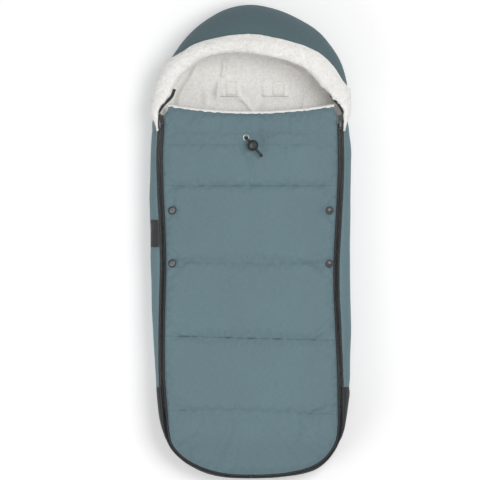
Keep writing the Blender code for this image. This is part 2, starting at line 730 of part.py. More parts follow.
def build_zips(materials):
    tape = materials["zip_tape"]
    coil = COIL_GAP / 2
    sewn = ZIP_HALF_WIDTH - SEAM_GAP
    tail = tail_distances()
    toe = toe_distances()
    toe_end = ZIP_RAIL.length - ZIP_TAB_LENGTH / 2 - SEAM_GAP
    toe = [d for d in toe if d < toe_end] + [toe_end]
    flap_start = ZIP_RAIL.at_y(SLIDER_Y - SLIDER_LENGTH / 2 - SEAM_GAP * 4)
    fold = ZIP_RAIL.at_y(FOLD_Y)
    lower_fold = ZIP_RAIL.at_y(LOWER_FOLD_Y)
    for name, side in (("left", -1), ("right", 1)):
        swept_solid(f"zip_wall_{name}", band_sections(tail + toe, side, -coil, -sewn), tape)
        spans = (
            ("flap", [flap_start, fold - SEAM_GAP]),
            ("lower", [fold + SEAM_GAP, lower_fold - SEAM_GAP]),
            ("toe", [lower_fold + SEAM_GAP] + toe),
        )
        for part, stations in spans:
            swept_solid(f"zip_{part}_{name}", band_sections(stations, side, coil, sewn), tape)
    half = ZIP_TAB_LENGTH / 2
    centre, inward, up = zip_frame(ZIP_RAIL.length)
    thin, thick, middle = TAPE_THICKNESS / 2, COIL_HEIGHT / 2, coil + COIL_WIDTH
    lower = (
        (-sewn, -thin), (-middle, -thin), (-middle, -thick),
        (middle, -thick), (middle, -thin), (sewn, -thin),
    )
    corners = lower + tuple((i, -j) for i, j in lower[::-1])
    plane = [centre + inward * i + up * j for i, j in corners]
    across = np.array((half, 0, 0))
    sections = [[point - across for point in plane], [point + across for point in plane]]
    swept_solid("zip_end_tab", sections, materials["gusset_fabric"])


def cover_half_width(y):
    cut_in = COVER_CORNER_CUT * ease(y, COVER_CORNER_START, COVER_CORNER_LENGTH)
    return COVER_HALF_WIDTH - cut_in


def cover_top_y(x):
    return COVER_TOP_Y + COVER_TOP_RISE * (np.asarray(x) / COVER_HALF_WIDTH) ** 2


def cover_toe_edge(distance):
    """Point of the cover's edge beside the zip, on the right."""
    centre, inward, up = zip_frame(distance)
    clear_of_tape = np.array((up[0], up[1], 0)) * TAPE_THICKNESS
    return centre + inward * (ZIP_HALF_WIDTH + SEAM_GAP) - clear_of_tape


def build_cover_edge():
    """Dense points round the whole cover, to measure distances from its edge."""
    side_y = np.linspace(COVER_TOP_Y + COVER_TOP_RISE, ZIP_STRAIGHT_END, 500)
    right = np.stack((cover_half_width(side_y), side_y), axis=1)
    toe_start = ZIP_RAIL.at_y(ZIP_STRAIGHT_END)
    toe = [cover_toe_edge(d)[:2] for d in np.linspace(toe_start, ZIP_RAIL.length, 250)]
    top_x = np.linspace(0, COVER_HALF_WIDTH - COVER_CORNER_CUT, 200)
    top = np.stack((top_x, cover_top_y(top_x)), axis=1)
    half = np.concatenate((right, toe, top))
    return np.concatenate((half, half * np.array((-1, 1))))


COVER_EDGE = build_cover_edge()


def edge_distance(x, y):
    flat = np.stack((np.ravel(x), np.ravel(y)), axis=1)
    gaps = np.linalg.norm(flat[:, None, :] - COVER_EDGE[None, :, :], axis=2)
    return gaps.min(axis=1).reshape(np.shape(x))


def cover_base(y):
    """Height of the cover's edge."""
    return zip_height(np.minimum(y, HOOD_START)) + np.sin(zip_tilt(y)) * ZIP_HALF_WIDTH


def cover_heights(x, y):
    """Heights of the cover's top, padding top, lining top and underside."""
    x, y = np.broadcast_arrays(np.asarray(x, float), np.asarray(y, float))
    gap = edge_distance(x, y)
    crown = COVER_CROWN * (1 - (1 - np.clip(gap / COVER_HALF_WIDTH, 0, 1)) ** COVER_CROWN_POWER)
    near = 1 - np.clip(gap / COVER_LOFT_WIDTH, 0, 1)
    loft = COVER_LOFT * np.sqrt(1 - near * near)
    valley = sum(np.exp(-(((y - seam) / QUILT_WIDTH) ** 2)) for seam in QUILT_YS) * QUILT_DEPTH
    stitch = sum(np.exp(-(((y - seam) / CHANNEL_SEAM_WIDTH) ** 2)) for seam in CHANNEL_YS)
    top = cover_base(y) + COVER_EDGE_LIFT + crown + loft
    top = top - (valley + stitch * CHANNEL_DEPTH) * ease(gap, 0, QUILT_FADE)
    inside = (y < CHANNEL_YS[0] - CHANNEL_SEAM_WIDTH / 2) & (y > CHANNEL_YS[1] + CHANNEL_SEAM_WIDTH / 2)
    groove = np.where(inside, CHANNEL_GROOVE * ease(gap, 0, QUILT_FADE / 2), 0.0)
    lining = cover_base(y) - COVER_LINING_DROP + COVER_LINING_CROWN_SHARE * crown
    return top, top - PADDING_DEPTH - groove, lining, lining - LINING_THICKNESS


def rows_between(low, high, steps):
    return [low + (high - low) * k / steps for k in range(1, steps)]


def flap_rows():
    seam = QUILT_YS[0]
    quilt = [seam + share * QUILT_WIDTH for share in SEAM_ROW_SHARES]
    channel = []
    for line in CHANNEL_YS[::-1]:
        channel += [line + share * CHANNEL_SEAM_WIDTH for share in CHANNEL_ROW_SHARES]
    rows = [FOLD_Y + SEAM_GAP] + rows_between(FOLD_Y, quilt[0], 3) + quilt
    return rows + rows_between(quilt[-1], channel[0], 3) + channel


def lower_rows():
    rows = []
    for seam in QUILT_YS[1:3][::-1]:
        rows += [seam + share * QUILT_WIDTH for share in SEAM_ROW_SHARES]
    low, high = LOWER_FOLD_Y + SEAM_GAP, FOLD_Y - SEAM_GAP
    start = [low, low + QUILT_WIDTH, low + QUILT_WIDTH * 2]
    count = len(SEAM_ROW_SHARES)
    between = rows_between(rows[count - 1], rows[count], 4)
    rows = start + rows_between(start[-1], rows[0], 4) + rows[:count] + between + rows[count:]
    return rows + rows_between(rows[-1], high, 2) + [high]


def column_shares():
    return np.array([-share for share in COLUMN_SHARES[:0:-1]] + list(COLUMN_SHARES))


def flap_plan():
    shares = column_shares()
    rows = flap_rows()
    x = [shares * cover_half_width(row) for row in rows]
    y = [np.full(len(shares), row) for row in rows]
    last = rows[-1]
    for share in TOP_EDGE_SHARES:
        guess = last + share * (cover_top_y(shares * COVER_HALF_WIDTH) - last)
        x.append(shares * cover_half_width(guess))
        y.append(guess)
    return np.array(x), np.array(y)


def lower_plan():
    shares, rows = column_shares(), lower_rows()
    x = np.array([shares * cover_half_width(row) for row in rows])
    return x, np.repeat(np.array(rows)[:, None], len(shares), axis=1)


def toe_plan():
    """The toe part fans from the straight seam out to the curved edge."""
    right = [cover_toe_edge(d)[:2] for d in toe_distances()[::-1]]
    left = [point * np.array((-1, 1)) for point in right[:0:-1]]
    curve = np.array(left + right)
    run = np.concatenate(([0], np.cumsum(np.linalg.norm(np.diff(curve, axis=0), axis=1))))
    share = run / run[-1] * 2 - 1
    seam_y = LOWER_FOLD_Y - SEAM_GAP
    seam = np.stack((share * COVER_HALF_WIDTH, np.full(len(share), seam_y)), axis=1)
    rows = np.array([seam + (curve - seam) * w for w in TOE_ROW_SHARES])
    return rows[..., 0], rows[..., 1]


def cover_layers(part, plan, materials):
    x, y = plan
    top, padding, lining, under = cover_heights(x, y)
    slots = {"outer": "shell_fabric", "padding": "padding", "lining": "fleece"}
    spans = {
        "outer": (top, top - OUTER_THICKNESS),
        "padding": (padding, lining + SEAM_GAP),
        "lining": (lining, under),
    }
    made = {}
    for layer, (high, low) in spans.items():
        upper = np.stack((x, y, high), axis=2)
        lower = np.stack((x, y, low), axis=2)
        made[layer] = layer_solid(f"front_{part}_{layer}", upper, lower, materials[slots[layer]])
    return made


def build_piping(materials):
    """Fleece roll along the cover's top edge."""
    shares = column_shares()
    x = shares * (COVER_HALF_WIDTH - COVER_CORNER_CUT)
    y = cover_top_y(shares * COVER_HALF_WIDTH)
    top, _, _, under = cover_heights(x, y)
    middle, half = (top + under) / 2, (top - under) / 2
    sections = []
    for k in range(len(x)):
        ring = []
        for turn in range(8):
            angle = math.pi / 2 - math.pi * turn / 7
            out = SEAM_GAP + PIPING_RADIUS * math.cos(angle)
            ring.append((x[k], y[k] + out, middle[k] + half[k] * math.sin(angle)))
        sections.append(ring)
    swept_solid("front_flap_piping", sections, materials["fleece"])


def facet_height(x, y, surface):
    """Height of one cover surface at a place, as its flat facets have it."""
    rows = flap_rows() if y > FOLD_Y else lower_rows()
    above = min(max(int(np.searchsorted(rows, y)), 1), len(rows) - 1)
    heights = []
    for row in rows[above - 1:above + 1]:
        columns = column_shares() * cover_half_width(row)
        heights.append(np.interp(x, columns, cover_heights(columns, row)[surface]))
    share = (y - rows[above - 1]) / (rows[above] - rows[above - 1])
    return float(heights[0] + (heights[1] - heights[0]) * share)


def surface_height(x, y):
    return facet_height(x, y, 0)


def underside_height(x, y):
    return facet_height(x, y, 3)


def seat(x, y, radius, height_at, highest):
    """Tilt and height of a disc that lies on the cover with the cover's own slope."""
    lean_x = (height_at(x + radius, y) - height_at(x - radius, y)) / (2 * radius)
    lean_y = (height_at(x, y + radius) - height_at(x, y - radius)) / (2 * radius)
    tilt = Vector((0, 0, 1)).rotation_difference(Vector((-lean_x, -lean_y, 1)))
    worst = None
    for ring in (0.0, 0.5, 1.0):
        for k in range(12):
            angle = 2 * math.pi * k / 12
            dx, dy = ring * radius * math.cos(angle), ring * radius * math.sin(angle)
            offset = height_at(x + dx, y + dy) - dx * lean_x - dy * lean_y
            if worst is None or (offset > worst) == highest:
                worst = offset
    return tilt.to_matrix().to_4x4(), worst


def build_snaps(materials):
    cap = (
        (0, 0), (SNAP_RADIUS, 0), (SNAP_RADIUS, SNAP_HEIGHT / 2), (SNAP_RADIUS * SNAP_RIM_SHARE, SNAP_HEIGHT),
        (SNAP_RADIUS * SNAP_DISH_SHARE, SNAP_HEIGHT * SNAP_DISH_HEIGHT_SHARE),
        (0, SNAP_HEIGHT * SNAP_DISH_HEIGHT_SHARE),
    )
    back = (
        (0, -SNAP_BACK_HEIGHT), (SNAP_BACK_RADIUS, -SNAP_BACK_HEIGHT), (SNAP_BACK_RADIUS, 0), (0, 0),
    )
    for row, y in (("upper", FOLD_Y + SNAP_FROM_FOLD), ("lower", FOLD_Y - SNAP_FROM_FOLD)):
        for name, side in (("left", -1), ("right", 1)):
            x = side * SNAP_X
            tilt, z = seat(x, y, SNAP_RADIUS, surface_height, True)
            place = (x, y, z + SNAP_SEAT)
            metal = "silver_metal" if side < 0 else "dark_metal"
            turned_solid(f"snap_{row}_{name}", cap, place, materials[metal], 18, tilt)
            tilt, z = seat(x, y, SNAP_BACK_RADIUS, underside_height, False)
            place = (x, y, z - SNAP_SEAT)
            turned_solid(f"snap_back_{row}_{name}", back, place, materials["dark_metal"], 16, tilt)


def build_eyelet(materials, cloth):
    bore, tube_radius = EYELET_BORE, EYELET_BORE + EYELET_WALL
    flange = tube_radius + EYELET_FLANGE
    tilt, top = seat(EYELET_X, EYELET_Y, flange, surface_height, True)
    place = (EYELET_X, EYELET_Y, top)
    ring = (
        (bore, -OUTER_THICKNESS), (tube_radius, -OUTER_THICKNESS), (tube_radius, SNAP_SEAT),
        (flange, SNAP_SEAT), (flange - EYELET_FLANGE_HEIGHT, SNAP_SEAT + EYELET_FLANGE_HEIGHT),
        (bore, SNAP_SEAT + EYELET_FLANGE_HEIGHT),
    )
    turned_solid("eyelet", ring, place, materials["silver_metal"], 20, tilt, closed=True)
    hole_radius = tube_radius + SNAP_SEAT
    low, high = -CUTTER_OVERRUN, CUTTER_OVERRUN
    hole = ((0, low), (hole_radius, low), (hole_radius, high), (0, high))
    cutter = turned_solid("eyelet_cutter", hole, place, materials["cord"], 20, tilt)
    cut(cloth, cutter)


def lock_frame():
    """Centre of the cord lock, and the direction in which the cords leave it."""
    run = Vector((LOCK_X - EYELET_X, LOCK_Y - EYELET_Y, 0)).normalized()
    under = [(dx, dy) for dx in (0, LOCK_RADIUS / 2) for dy in (0, -LOCK_RADIUS)]
    highest = max(surface_height(LOCK_X + dx, LOCK_Y + dy) for dx, dy in under)
    return Vector((LOCK_X, LOCK_Y, highest + LOCK_RADIUS + LOCK_REST_LIFT)), run


def smooth_path(points, count):
    """Points at equal shares along a smooth curve through the given ones."""
    points = [Vector(p) for p in points]
    dense = []
    for k in range(len(points) - 1):
        before = points[k - 1] if k else points[0] * 2 - points[1]
        after = points[k + 2] if k + 2 < len(points) else points[-1] * 2 - points[-2]
        for step in range(24):
            t = step / 24
            a, b = points[k], points[k + 1]
            bend = (before * 2 - a * 5 + b * 4 - after) * t * t + (a * 3 - before - b * 3 + after) * t ** 3
            dense.append(a + ((b - before) * t + bend) / 2)
    dense.append(points[-1])
    path = np.array([tuple(p) for p in dense])
    run = np.concatenate(([0], np.cumsum(np.linalg.norm(np.diff(path, axis=0), axis=1))))
    wanted = np.linspace(0, run[-1], count)
    return np.stack([np.interp(wanted, run, path[:, i]) for i in range(3)], axis=1)


def tube(name, points, radius, material, resolution=2):
    curve = bpy.data.curves.new(name, "CURVE")
    curve.dimensions = "3D"
    spline = curve.splines.new("POLY")
    spline.points.add(len(points) - 1)
    for slot, point in zip(spline.points, points):
        slot.co = (*point, 1)
    curve.bevel_depth = radius
    curve.bevel_resolution = resolution
    curve.render_resolution_u = 0
    curve.use_fill_caps = True
    curve.materials.append(material)
    thing = bpy.data.objects.new(name, curve)
    bpy.context.scene.collection.objects.link(thing)
    return thing


def build_cords(materials):
    centre, run = lock_frame()
    across = Vector((-run.y, run.x, 0))
    top = surface_height(EYELET_X, EYELET_Y)
    tail_end = centre + run * (LOCK_RADIUS + LOCK_SLIDE + CORD_TAIL)
    rise = (centre.z - top) * CORD_RISE_SHARE
    for name, side in (("left", -1), ("right", 1)):
        # the strand that comes from the right passes on the lock's right-hand side
        aside = across * (side * CORD_SPACING / 2)
        low = [Vector((side * CORD_END_X * share, EYELET_Y, 0)) for share in CORD_RUN_SHARES]
        for point in low:
            point.x += EYELET_X * (1 - abs(point.x) / CORD_END_X)
            point.z = surface_height(point.x, point.y) - OUTER_THICKNESS - CORD_HANG / 2
        hole = Vector((EYELET_X, EYELET_Y, top)) + aside
        reach = centre - run * (LOCK_RADIUS + SEAM_GAP) + aside
        path = low + [
            hole + Vector((side * CORD_BEND_RADII * CORD_RADIUS, 0, -CORD_HANG)),
            hole + Vector((0, 0, -OUTER_THICKNESS)),
            hole + Vector((0, 0, rise)) + run * CORD_RADIUS,
            reach - run * CORD_RADIUS,
            reach,
            centre + aside,
            tail_end + aside,
        ]
        tube(f"drawcord_{name}", smooth_path(path, 40), CORD_RADIUS, materials["cord"])
    knot = [(0, -KNOT_RADIUS)]
    for k in range(1, 8):
        angle = math.pi * k / 8 - math.pi / 2
        knot.append((KNOT_RADIUS * math.cos(angle), KNOT_RADIUS * math.sin(angle)))
    knot.append((0, KNOT_RADIUS))
    place = tail_end + run * (KNOT_RADIUS + SEAM_GAP)
    turned_solid("cord_knot", knot, place, materials["cord"], 14)


def build_lock(materials):
    centre, run = lock_frame()
    turn = Matrix.Rotation(math.atan2(run.y, run.x), 4, "Z")
    start = -math.pi / 2
    end = math.asin(LOCK_TOP / LOCK_RADIUS)
    profile = [(0, -LOCK_RADIUS)]
    for k in range(1, 12):
        angle = start + (end - start) * k / 11
        profile.append((LOCK_RADIUS * math.cos(angle), LOCK_RADIUS * math.sin(angle)))
    profile += [(LOCK_BORE, LOCK_TOP), (LOCK_BORE, -LOCK_BORE_FLOOR), (0, -LOCK_BORE_FLOOR)]
    body = turned_solid("cord_lock_body", profile, centre, materials["black_plastic"], 18)
    half = LOCK_SLOT_WIDTH / 2
    reach = LOCK_RADIUS + CUTTER_OVERRUN
    low, high = (-reach, -half, -LOCK_SLOT_HEIGHT / 2), (reach, half, LOCK_SLOT_HEIGHT / 2)
    cut(body, box_object("lock_slot_cutter", low, high, turn, centre))

    shaft = LOCK_BORE - BUTTON_CLEARANCE
    cap_low = LOCK_TOP + BUTTON_CAP_GAP
    edge_low, edge_in, edge_high = BUTTON_EDGE_SHARES
    cap = (
        (0, -BUTTON_FOOT), (shaft, -BUTTON_FOOT), (shaft, cap_low), (BUTTON_CAP_RADIUS, cap_low),
        (BUTTON_CAP_RADIUS, cap_low + BUTTON_CAP_HEIGHT * edge_low),
        (BUTTON_CAP_RADIUS * edge_in, cap_low + BUTTON_CAP_HEIGHT * edge_high),
        (0, cap_low + BUTTON_CAP_HEIGHT),
    )
    button = turned_solid("cord_lock_button", cap, centre, materials["black_plastic"], 18)
    low, high = (-reach, -half, -BUTTON_SLOT_LOW), (reach, half, BUTTON_SLOT_HIGH)
    cut(button, box_object("button_slot_cutter", low, high, turn, centre))

    height = LOCK_BORE_FLOOR - BUTTON_FOOT - 2 * SPRING_WIRE - 2 * SEAM_GAP
    floor = centre.z - LOCK_BORE_FLOOR + SPRING_WIRE + SEAM_GAP
    points = []
    count = SPRING_TURNS * 9
    for k in range(count + 1):
        angle = 2 * math.pi * SPRING_TURNS * k / count
        x, y = SPRING_RADIUS * math.cos(angle), SPRING_RADIUS * math.sin(angle)
        points.append((centre.x + x, centre.y + y, floor + height * k / count))
    tube("cord_lock_spring", points, SPRING_WIRE, materials["silver_metal"], 1)


def build_sliders(materials):
    half, length = SLIDER_WIDTH / 2, SLIDER_LENGTH
    inner = COIL_HEIGHT / 2 + SLIDER_CLEARANCE
    outer = inner + SLIDER_PLATE
    slit = TAPE_THICKNESS / 2 + SLIDER_CLEARANCE
    lip, post = half - SLIDER_LIP, SLIDER_POST / 2
    lug, lug_top = LUG_WIDTH / 2, outer + LUG_HEIGHT
    # an I section whose rims turn in towards the tape, with a slit for each tape
    ring = (
        (-half, outer), (half, outer), (half, slit),
        (lip, slit), (lip, inner), (post, inner), (post, -inner), (lip, -inner), (lip, -slit),
        (half, -slit), (half, -outer), (-half, -outer), (-half, -slit), (-lip, -slit), (-lip, -inner),
        (-post, -inner), (-post, inner), (-lip, inner), (-lip, slit), (-half, slit),
    )
    z = float(zip_height(SLIDER_Y))
    for name, side in (("left", -1), ("right", 1)):
        sections = []
        for y in (-length / 2, length / 2):
            sections.append([(side * ZIP_X + i, SLIDER_Y + y, z + j) for i, j in ring])
        body = swept_solid(f"zip_slider_{name}", sections, materials["dark_metal"])
        low, high = (-lug, -LUG_LENGTH / 2, inner + SLIDER_PLATE / 2), (lug, LUG_LENGTH / 2, lug_top)
        bridge = box_object(f"lug_{name}", low, high, None, (side * ZIP_X, SLIDER_Y, z))
        bridge.hide_render = True
        bridge.display_type = "WIRE"
        modifier = body.modifiers.new("lug", "BOOLEAN")
        modifier.operation = "UNION"
        modifier.solver = "EXACT"
        modifier.object = bridge
        eye = PULL_PIN_RADIUS + PULL_CLEARANCE
        pin_z = z + PULL_PIN_ABOVE_ZIP
        low, high = (-CUTTER_OVERRUN, -eye, -eye), (CUTTER_OVERRUN, eye, eye)
        cut(body, box_object(f"lug_eye_{name}", low, high, None, (side * ZIP_X, SLIDER_Y, pin_z)))
        build_pull(name, side, pin_z, materials)


def build_pull(name, side, pin_z, materials):
    """A flat tab with a window round the lug and a pin through the lug's eye."""
    half, thick = PULL_WIDTH / 2, PULL_THICKNESS / 2
    window = LUG_WIDTH / 2 + PULL_CLEARANCE
    head = LUG_LENGTH / 2 + PULL_CLEARANCE
    pin = PULL_PIN_RADIUS
    tip_width, tip_start = PULL_TIP_SHARES
    outline = (
        (-half, pin), (half, pin), (half, -PULL_LENGTH * tip_start), (half * tip_width, -PULL_LENGTH),
        (-half * tip_width, -PULL_LENGTH), (-half, -PULL_LENGTH * tip_start),
    )
    centre = (side * ZIP_X, SLIDER_Y, pin_z)
    rings = [[(x, y, z) for x, y in outline] for z in (-thick, thick)]
    tab = swept_solid(f"zip_pull_{name}", rings, materials["dark_metal"])
    tab.matrix_world = Matrix.Translation(Vector(centre))
    low = (-window, -head - pin, -CUTTER_OVERRUN)
    high = (window, -pin, CUTTER_OVERRUN)
    cut(tab, box_object(f"pull_window_{name}", low, high, None, centre))


def build_stops(materials):
    """Metal clips round each wall coil, just above the slider."""
    clear = COIL_WIDTH + COIL_GAP / 2 + SLIDER_CLEARANCE
    inner = COIL_GAP / 2 - SLIDER_CLEARANCE
    low = SLIDER_Y + SLIDER_LENGTH / 2 + SEAM_GAP
    z = float(zip_height(SLIDER_Y))
    under, over = COIL_HEIGHT / 2 + SEAM_GAP, COIL_HEIGHT / 2 + SEAM_GAP + TAPE_THICKNESS
    bead = COIL_GAP / 2 - SEAM_GAP
    for name, side in (("left", -1), ("right", 1)):
        # a C section open towards the tape
        ring = (
            (clear, over), (clear, under), (bead, under), (bead, -under), (clear, -under), (clear, -over),
            (bead - TAPE_THICKNESS, -over), (bead - TAPE_THICKNESS, over),
        )
        sections = []
        for y in (low, low + STOP_LENGTH):
            sections.append([(side * (ZIP_X + i), y, z + j) for i, j in ring])
        swept_solid(f"zip_stop_{name}", sections, materials["dark_metal"])


def build_flaps(materials):
    """Cloth flaps over the two shoulder slots, sewn along their head-end edge."""
    under = WALL_THICKNESS + SEAM_GAP
    for name, left, right in FLAP_SPANS:
        centre = ((left + right) / 2, FLAP_FREE_Y + FLAP_LENGTH, under + FLAP_THICKNESS / 2)
        half, thick = (right - left) / 2, FLAP_THICKNESS / 2
        low_corner, high_corner = (-half, -FLAP_LENGTH, -thick), (half, 0, thick)
        flap = box_object(name, low_corner, high_corner, None, centre, materials["fleece"])
        bevel = flap.modifiers.new("edge", "BEVEL")
        bevel.width = FLAP_THICKNESS / 4
        bevel.segments = 1


def build_label(materials):
    distances = [ZIP_RAIL.at_y(LABEL_TOP_Y - LABEL_LENGTH * k / 2) for k in range(3)]
    low, high = [], []
    for distance in distances:
        station = zip_station(distance)
        low.append(wall_section(*station, -SEAM_GAP, (), LABEL_SHARES))
        high.append(wall_section(*station, -SEAM_GAP - LABEL_THICKNESS, (), LABEL_SHARES))
    layer_solid("side_label", mirror(high, -1), mirror(low, -1), materials["label"])


def hang(name, place, prefixes):
    """Parent moving pieces, found by how their names start, to an empty on their joint's axis."""
    pivot = bpy.data.objects.new(name, None)
    pivot.location = place
    bpy.context.scene.collection.objects.link(pivot)
    for thing in list(bpy.data.objects):
        if thing.type != "EMPTY" and not thing.hide_render and thing.name.startswith(prefixes):
            thing.parent = pivot
            thing.matrix_parent_inverse = Matrix.Translation(pivot.location).inverted()


def hang_moving_pieces():
    fold_z = surface_height(0, FOLD_Y) + HINGE_LIFT
    lower_z = surface_height(0, LOWER_FOLD_Y) + HINGE_LIFT
    lower = ("front_lower_", "zip_lower_", "snap_lower_", "snap_back_lower_")
    upper = ("front_flap_", "zip_flap_", "snap_upper_", "snap_back_upper_", "eyelet", "drawcord_", "cord_knot")
    hang("front_lower_axis", (0, LOWER_FOLD_Y, lower_z), lower)
    hang("front_flap_axis", (0, FOLD_Y, fold_z), upper)
    centre, _ = lock_frame()
    hang("cord_lock_axis", centre, ("cord_lock_",))
    pin_z = float(zip_height(SLIDER_Y)) + PULL_PIN_ABOVE_ZIP
    for name, side in (("left", -1), ("right", 1)):
        place = (side * ZIP_X, SLIDER_Y, pin_z)
        hang(f"slider_{name}_axis", place, (f"zip_slider_{name}", f"zip_pull_{name}"))
    for name, left, right in FLAP_SPANS:
        place = ((left + right) / 2, FLAP_FREE_Y + FLAP_LENGTH, WALL_THICKNESS + SEAM_GAP + FLAP_THICKNESS / 2)
        hang(f"{name}_axis", place, (name,))


def main():
    clear_scene()
    materials = make_materials()
    build_back(materials)
    build_sides(materials)
    build_toe(materials)
    build_hood(materials)
    build_cuff(materials)
    build_zips(materials)
    flap = cover_layers("flap", flap_plan(), materials)
    cover_layers("lower", lower_plan(), materials)
    cover_layers("toe", toe_plan(), materials)
    build_piping(materials)
    build_snaps(materials)
    build_eyelet(materials, flap["outer"])
    build_cords(materials)
    build_lock(materials)
    build_sliders(materials)
    build_stops(materials)
    build_flaps(materials)
    build_label(materials)
    hang_moving_pieces()


main()
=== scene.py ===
"""Dresses a padded stroller footmuff: quilted zipped cover, pile cuff, fleece lining and fittings, in metres.

The footmuff lies on its back on a pale floor, head end towards +Y, and the front cover faces up.
"""

import logging
import math
from collections.abc import Sequence
from dataclasses import dataclass, field
from enum import Enum

import bmesh
import bpy
import numpy as np
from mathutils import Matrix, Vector


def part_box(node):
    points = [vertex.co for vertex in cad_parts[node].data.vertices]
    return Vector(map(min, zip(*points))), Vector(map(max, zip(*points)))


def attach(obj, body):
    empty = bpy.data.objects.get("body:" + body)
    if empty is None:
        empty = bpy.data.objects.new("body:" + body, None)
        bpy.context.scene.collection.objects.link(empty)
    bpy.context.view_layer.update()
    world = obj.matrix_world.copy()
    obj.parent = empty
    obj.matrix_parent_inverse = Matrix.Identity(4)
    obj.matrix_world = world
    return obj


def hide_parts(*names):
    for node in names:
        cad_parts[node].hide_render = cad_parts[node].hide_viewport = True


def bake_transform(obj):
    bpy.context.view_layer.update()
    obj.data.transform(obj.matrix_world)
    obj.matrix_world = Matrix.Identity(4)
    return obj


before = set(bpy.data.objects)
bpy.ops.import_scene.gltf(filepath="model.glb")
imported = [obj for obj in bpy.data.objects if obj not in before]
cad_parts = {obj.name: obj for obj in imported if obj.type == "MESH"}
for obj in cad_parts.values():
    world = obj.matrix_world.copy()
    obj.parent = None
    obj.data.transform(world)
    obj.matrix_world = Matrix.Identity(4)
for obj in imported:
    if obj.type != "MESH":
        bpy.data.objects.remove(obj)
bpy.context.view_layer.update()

Array = np.ndarray
Triple = tuple[Array, Array, Array]
Piece = bpy.types.Object
Socket = bpy.types.NodeSocket
LOG = logging.getLogger("footmuff")
MM = 0.001
TINY = 1e-12
GAP = 0.0003
HALF_TURN = math.pi
FULL_TURN = 2 * math.pi


class Side(Enum):
    """The two long sides, seen from above with the head end up."""

    LEFT = -1
    RIGHT = 1

    @property
    def word(self) -> str:
        """The side's name as the parts have it."""
        return self.name.lower()


def ease(value: Array, start: float, length: float) -> Array:
    """Rise from 0 to 1 over a length, level at both ends.

    Args:
        value: places along the rise.
        start: where it starts.
        length: how long it is.

    Returns:
        s squared times (3 minus 2 s), where s is the share of the length that is passed.
    """
    share = np.clip((np.asarray(value, float) - start) / length, 0, 1)
    return share * share * (3 - 2 * share)


def hump(value: Array, centre: float, width: float) -> Array:
    """A bell that is 1 at the centre and falls off as exp of minus the squared distance in widths."""
    return np.exp(-(((np.asarray(value, float) - centre) / width) ** 2))


def dome(share: Array) -> Array:
    """Quarter circle: 0 at share 0, upright there, and 1 level from share 1 on."""
    near = 1 - np.clip(share, 0, 1)
    return np.sqrt(1 - near * near)


def unit(rows: Array) -> Array:
    """Rows of vectors brought to length 1."""
    return rows / np.maximum(np.linalg.norm(rows, axis=-1, keepdims=True), TINY)


def circle(count: int) -> Array:
    """Even angles round a full turn."""
    return np.linspace(0, FULL_TURN, count, endpoint=False)


def spanned(*parts: Array) -> Array:
    """Coordinates spread over each other and joined as the last axis."""
    return np.stack(np.broadcast_arrays(*parts), axis=-1)


def run_along(points: Array) -> Array:
    """How far along a line of points each of them lies."""
    return np.concatenate(([0], np.cumsum(np.linalg.norm(np.diff(points, axis=0), axis=1))))


def node_box(name: str) -> tuple[Array, Array]:
    """Low and high corner of a node's box in the frame."""
    low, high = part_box(name)
    return np.array(low), np.array(high)


@dataclass(frozen=True)
class Rumple:
    """Smooth unevenness of cloth: seeded values on a lattice, joined by a fifth-power blend.

    Attributes:
        pitch: lattice spacing in metres.
        seed: number of the random table.
        octaves: how many layers, each half as wide and about half as high as the last.
    """

    pitch: float
    seed: int
    octaves: int = 2
    SIZE = 97
    START = (31.7, 17.3)

    def at(self, x: Array, y: Array) -> Array:
        """Unevenness from about -1 to 1 at places in metres."""
        size = self.SIZE
        table = np.random.RandomState(self.seed).uniform(-1, 1, (size, size))
        x, y = np.broadcast_arrays(np.asarray(x, float), np.asarray(y, float))
        total, weight, pitch = np.zeros(x.shape), 1.0, self.pitch
        for _ in range(self.octaves):
            a, b = x / pitch + self.START[0], y / pitch + self.START[1]
            i, j = np.floor(a).astype(int), np.floor(b).astype(int)
            s, t = a - i, b - j
            s, t = s**3 * (s * (6 * s - 15) + 10), t**3 * (t * (6 * t - 15) + 10)
            i, j, after_i, after_j = i % size, j % size, (i + 1) % size, (j + 1) % size
            near = table[i, j] * (1 - t) + table[i, after_j] * t
            far = table[after_i, j] * (1 - t) + table[after_i, after_j] * t
            total += weight * (near * (1 - s) + far * s)
            weight, pitch = weight * 0.5, pitch * 0.5
        return total


def grid_normals(points: Array, centre: Sequence[float] = (0, 0, 0.03)) -> Array:
    """Unit normals of a grid, as the cross product of its two directions, turned away from a centre."""
    normal = unit(np.cross(np.gradient(points, axis=0), np.gradient(points, axis=1)))
    outward = np.sum(normal * (points - np.asarray(centre)))
    return normal if outward > 0 else -normal


def arc_lengths(points: Array) -> Array:
    """For each grid point, how far along its column and along its row it lies, in metres."""
    down = np.linalg.norm(np.diff(points, axis=0), axis=2)
    across = np.linalg.norm(np.diff(points, axis=1), axis=2)
    u = np.concatenate((np.zeros((1, points.shape[1])), np.cumsum(down, axis=0)))
    v = np.concatenate((np.zeros((points.shape[0], 1)), np.cumsum(across, axis=1)), axis=1)
    return np.stack((u, v), axis=2)


def grid_faces(rows: int, columns: int, offset: int = 0, loop: bool = False) -> Array:
    """Corner numbers of a grid's four-sided faces; with loop, the last column joins the first."""
    numbers = np.arange(rows * columns).reshape(rows, columns) + offset
    if loop:
        numbers = np.concatenate((numbers, numbers[:, :1]), axis=1)
    near, far = numbers[:-1], numbers[1:]
    corners = (near[:, :-1], near[:, 1:], far[:, 1:], far[:, :-1])
    return np.stack(corners, axis=2).reshape(-1, 4)


def signed_volume(points: Array, faces: Array) -> float:
    """Volume inside closed faces, positive where they point outwards."""
    a, b, c, d = (points[faces[:, k]] for k in range(4))
    return float(np.sum(a * np.cross(b, c)) + np.sum(a * np.cross(c, d))) / 6


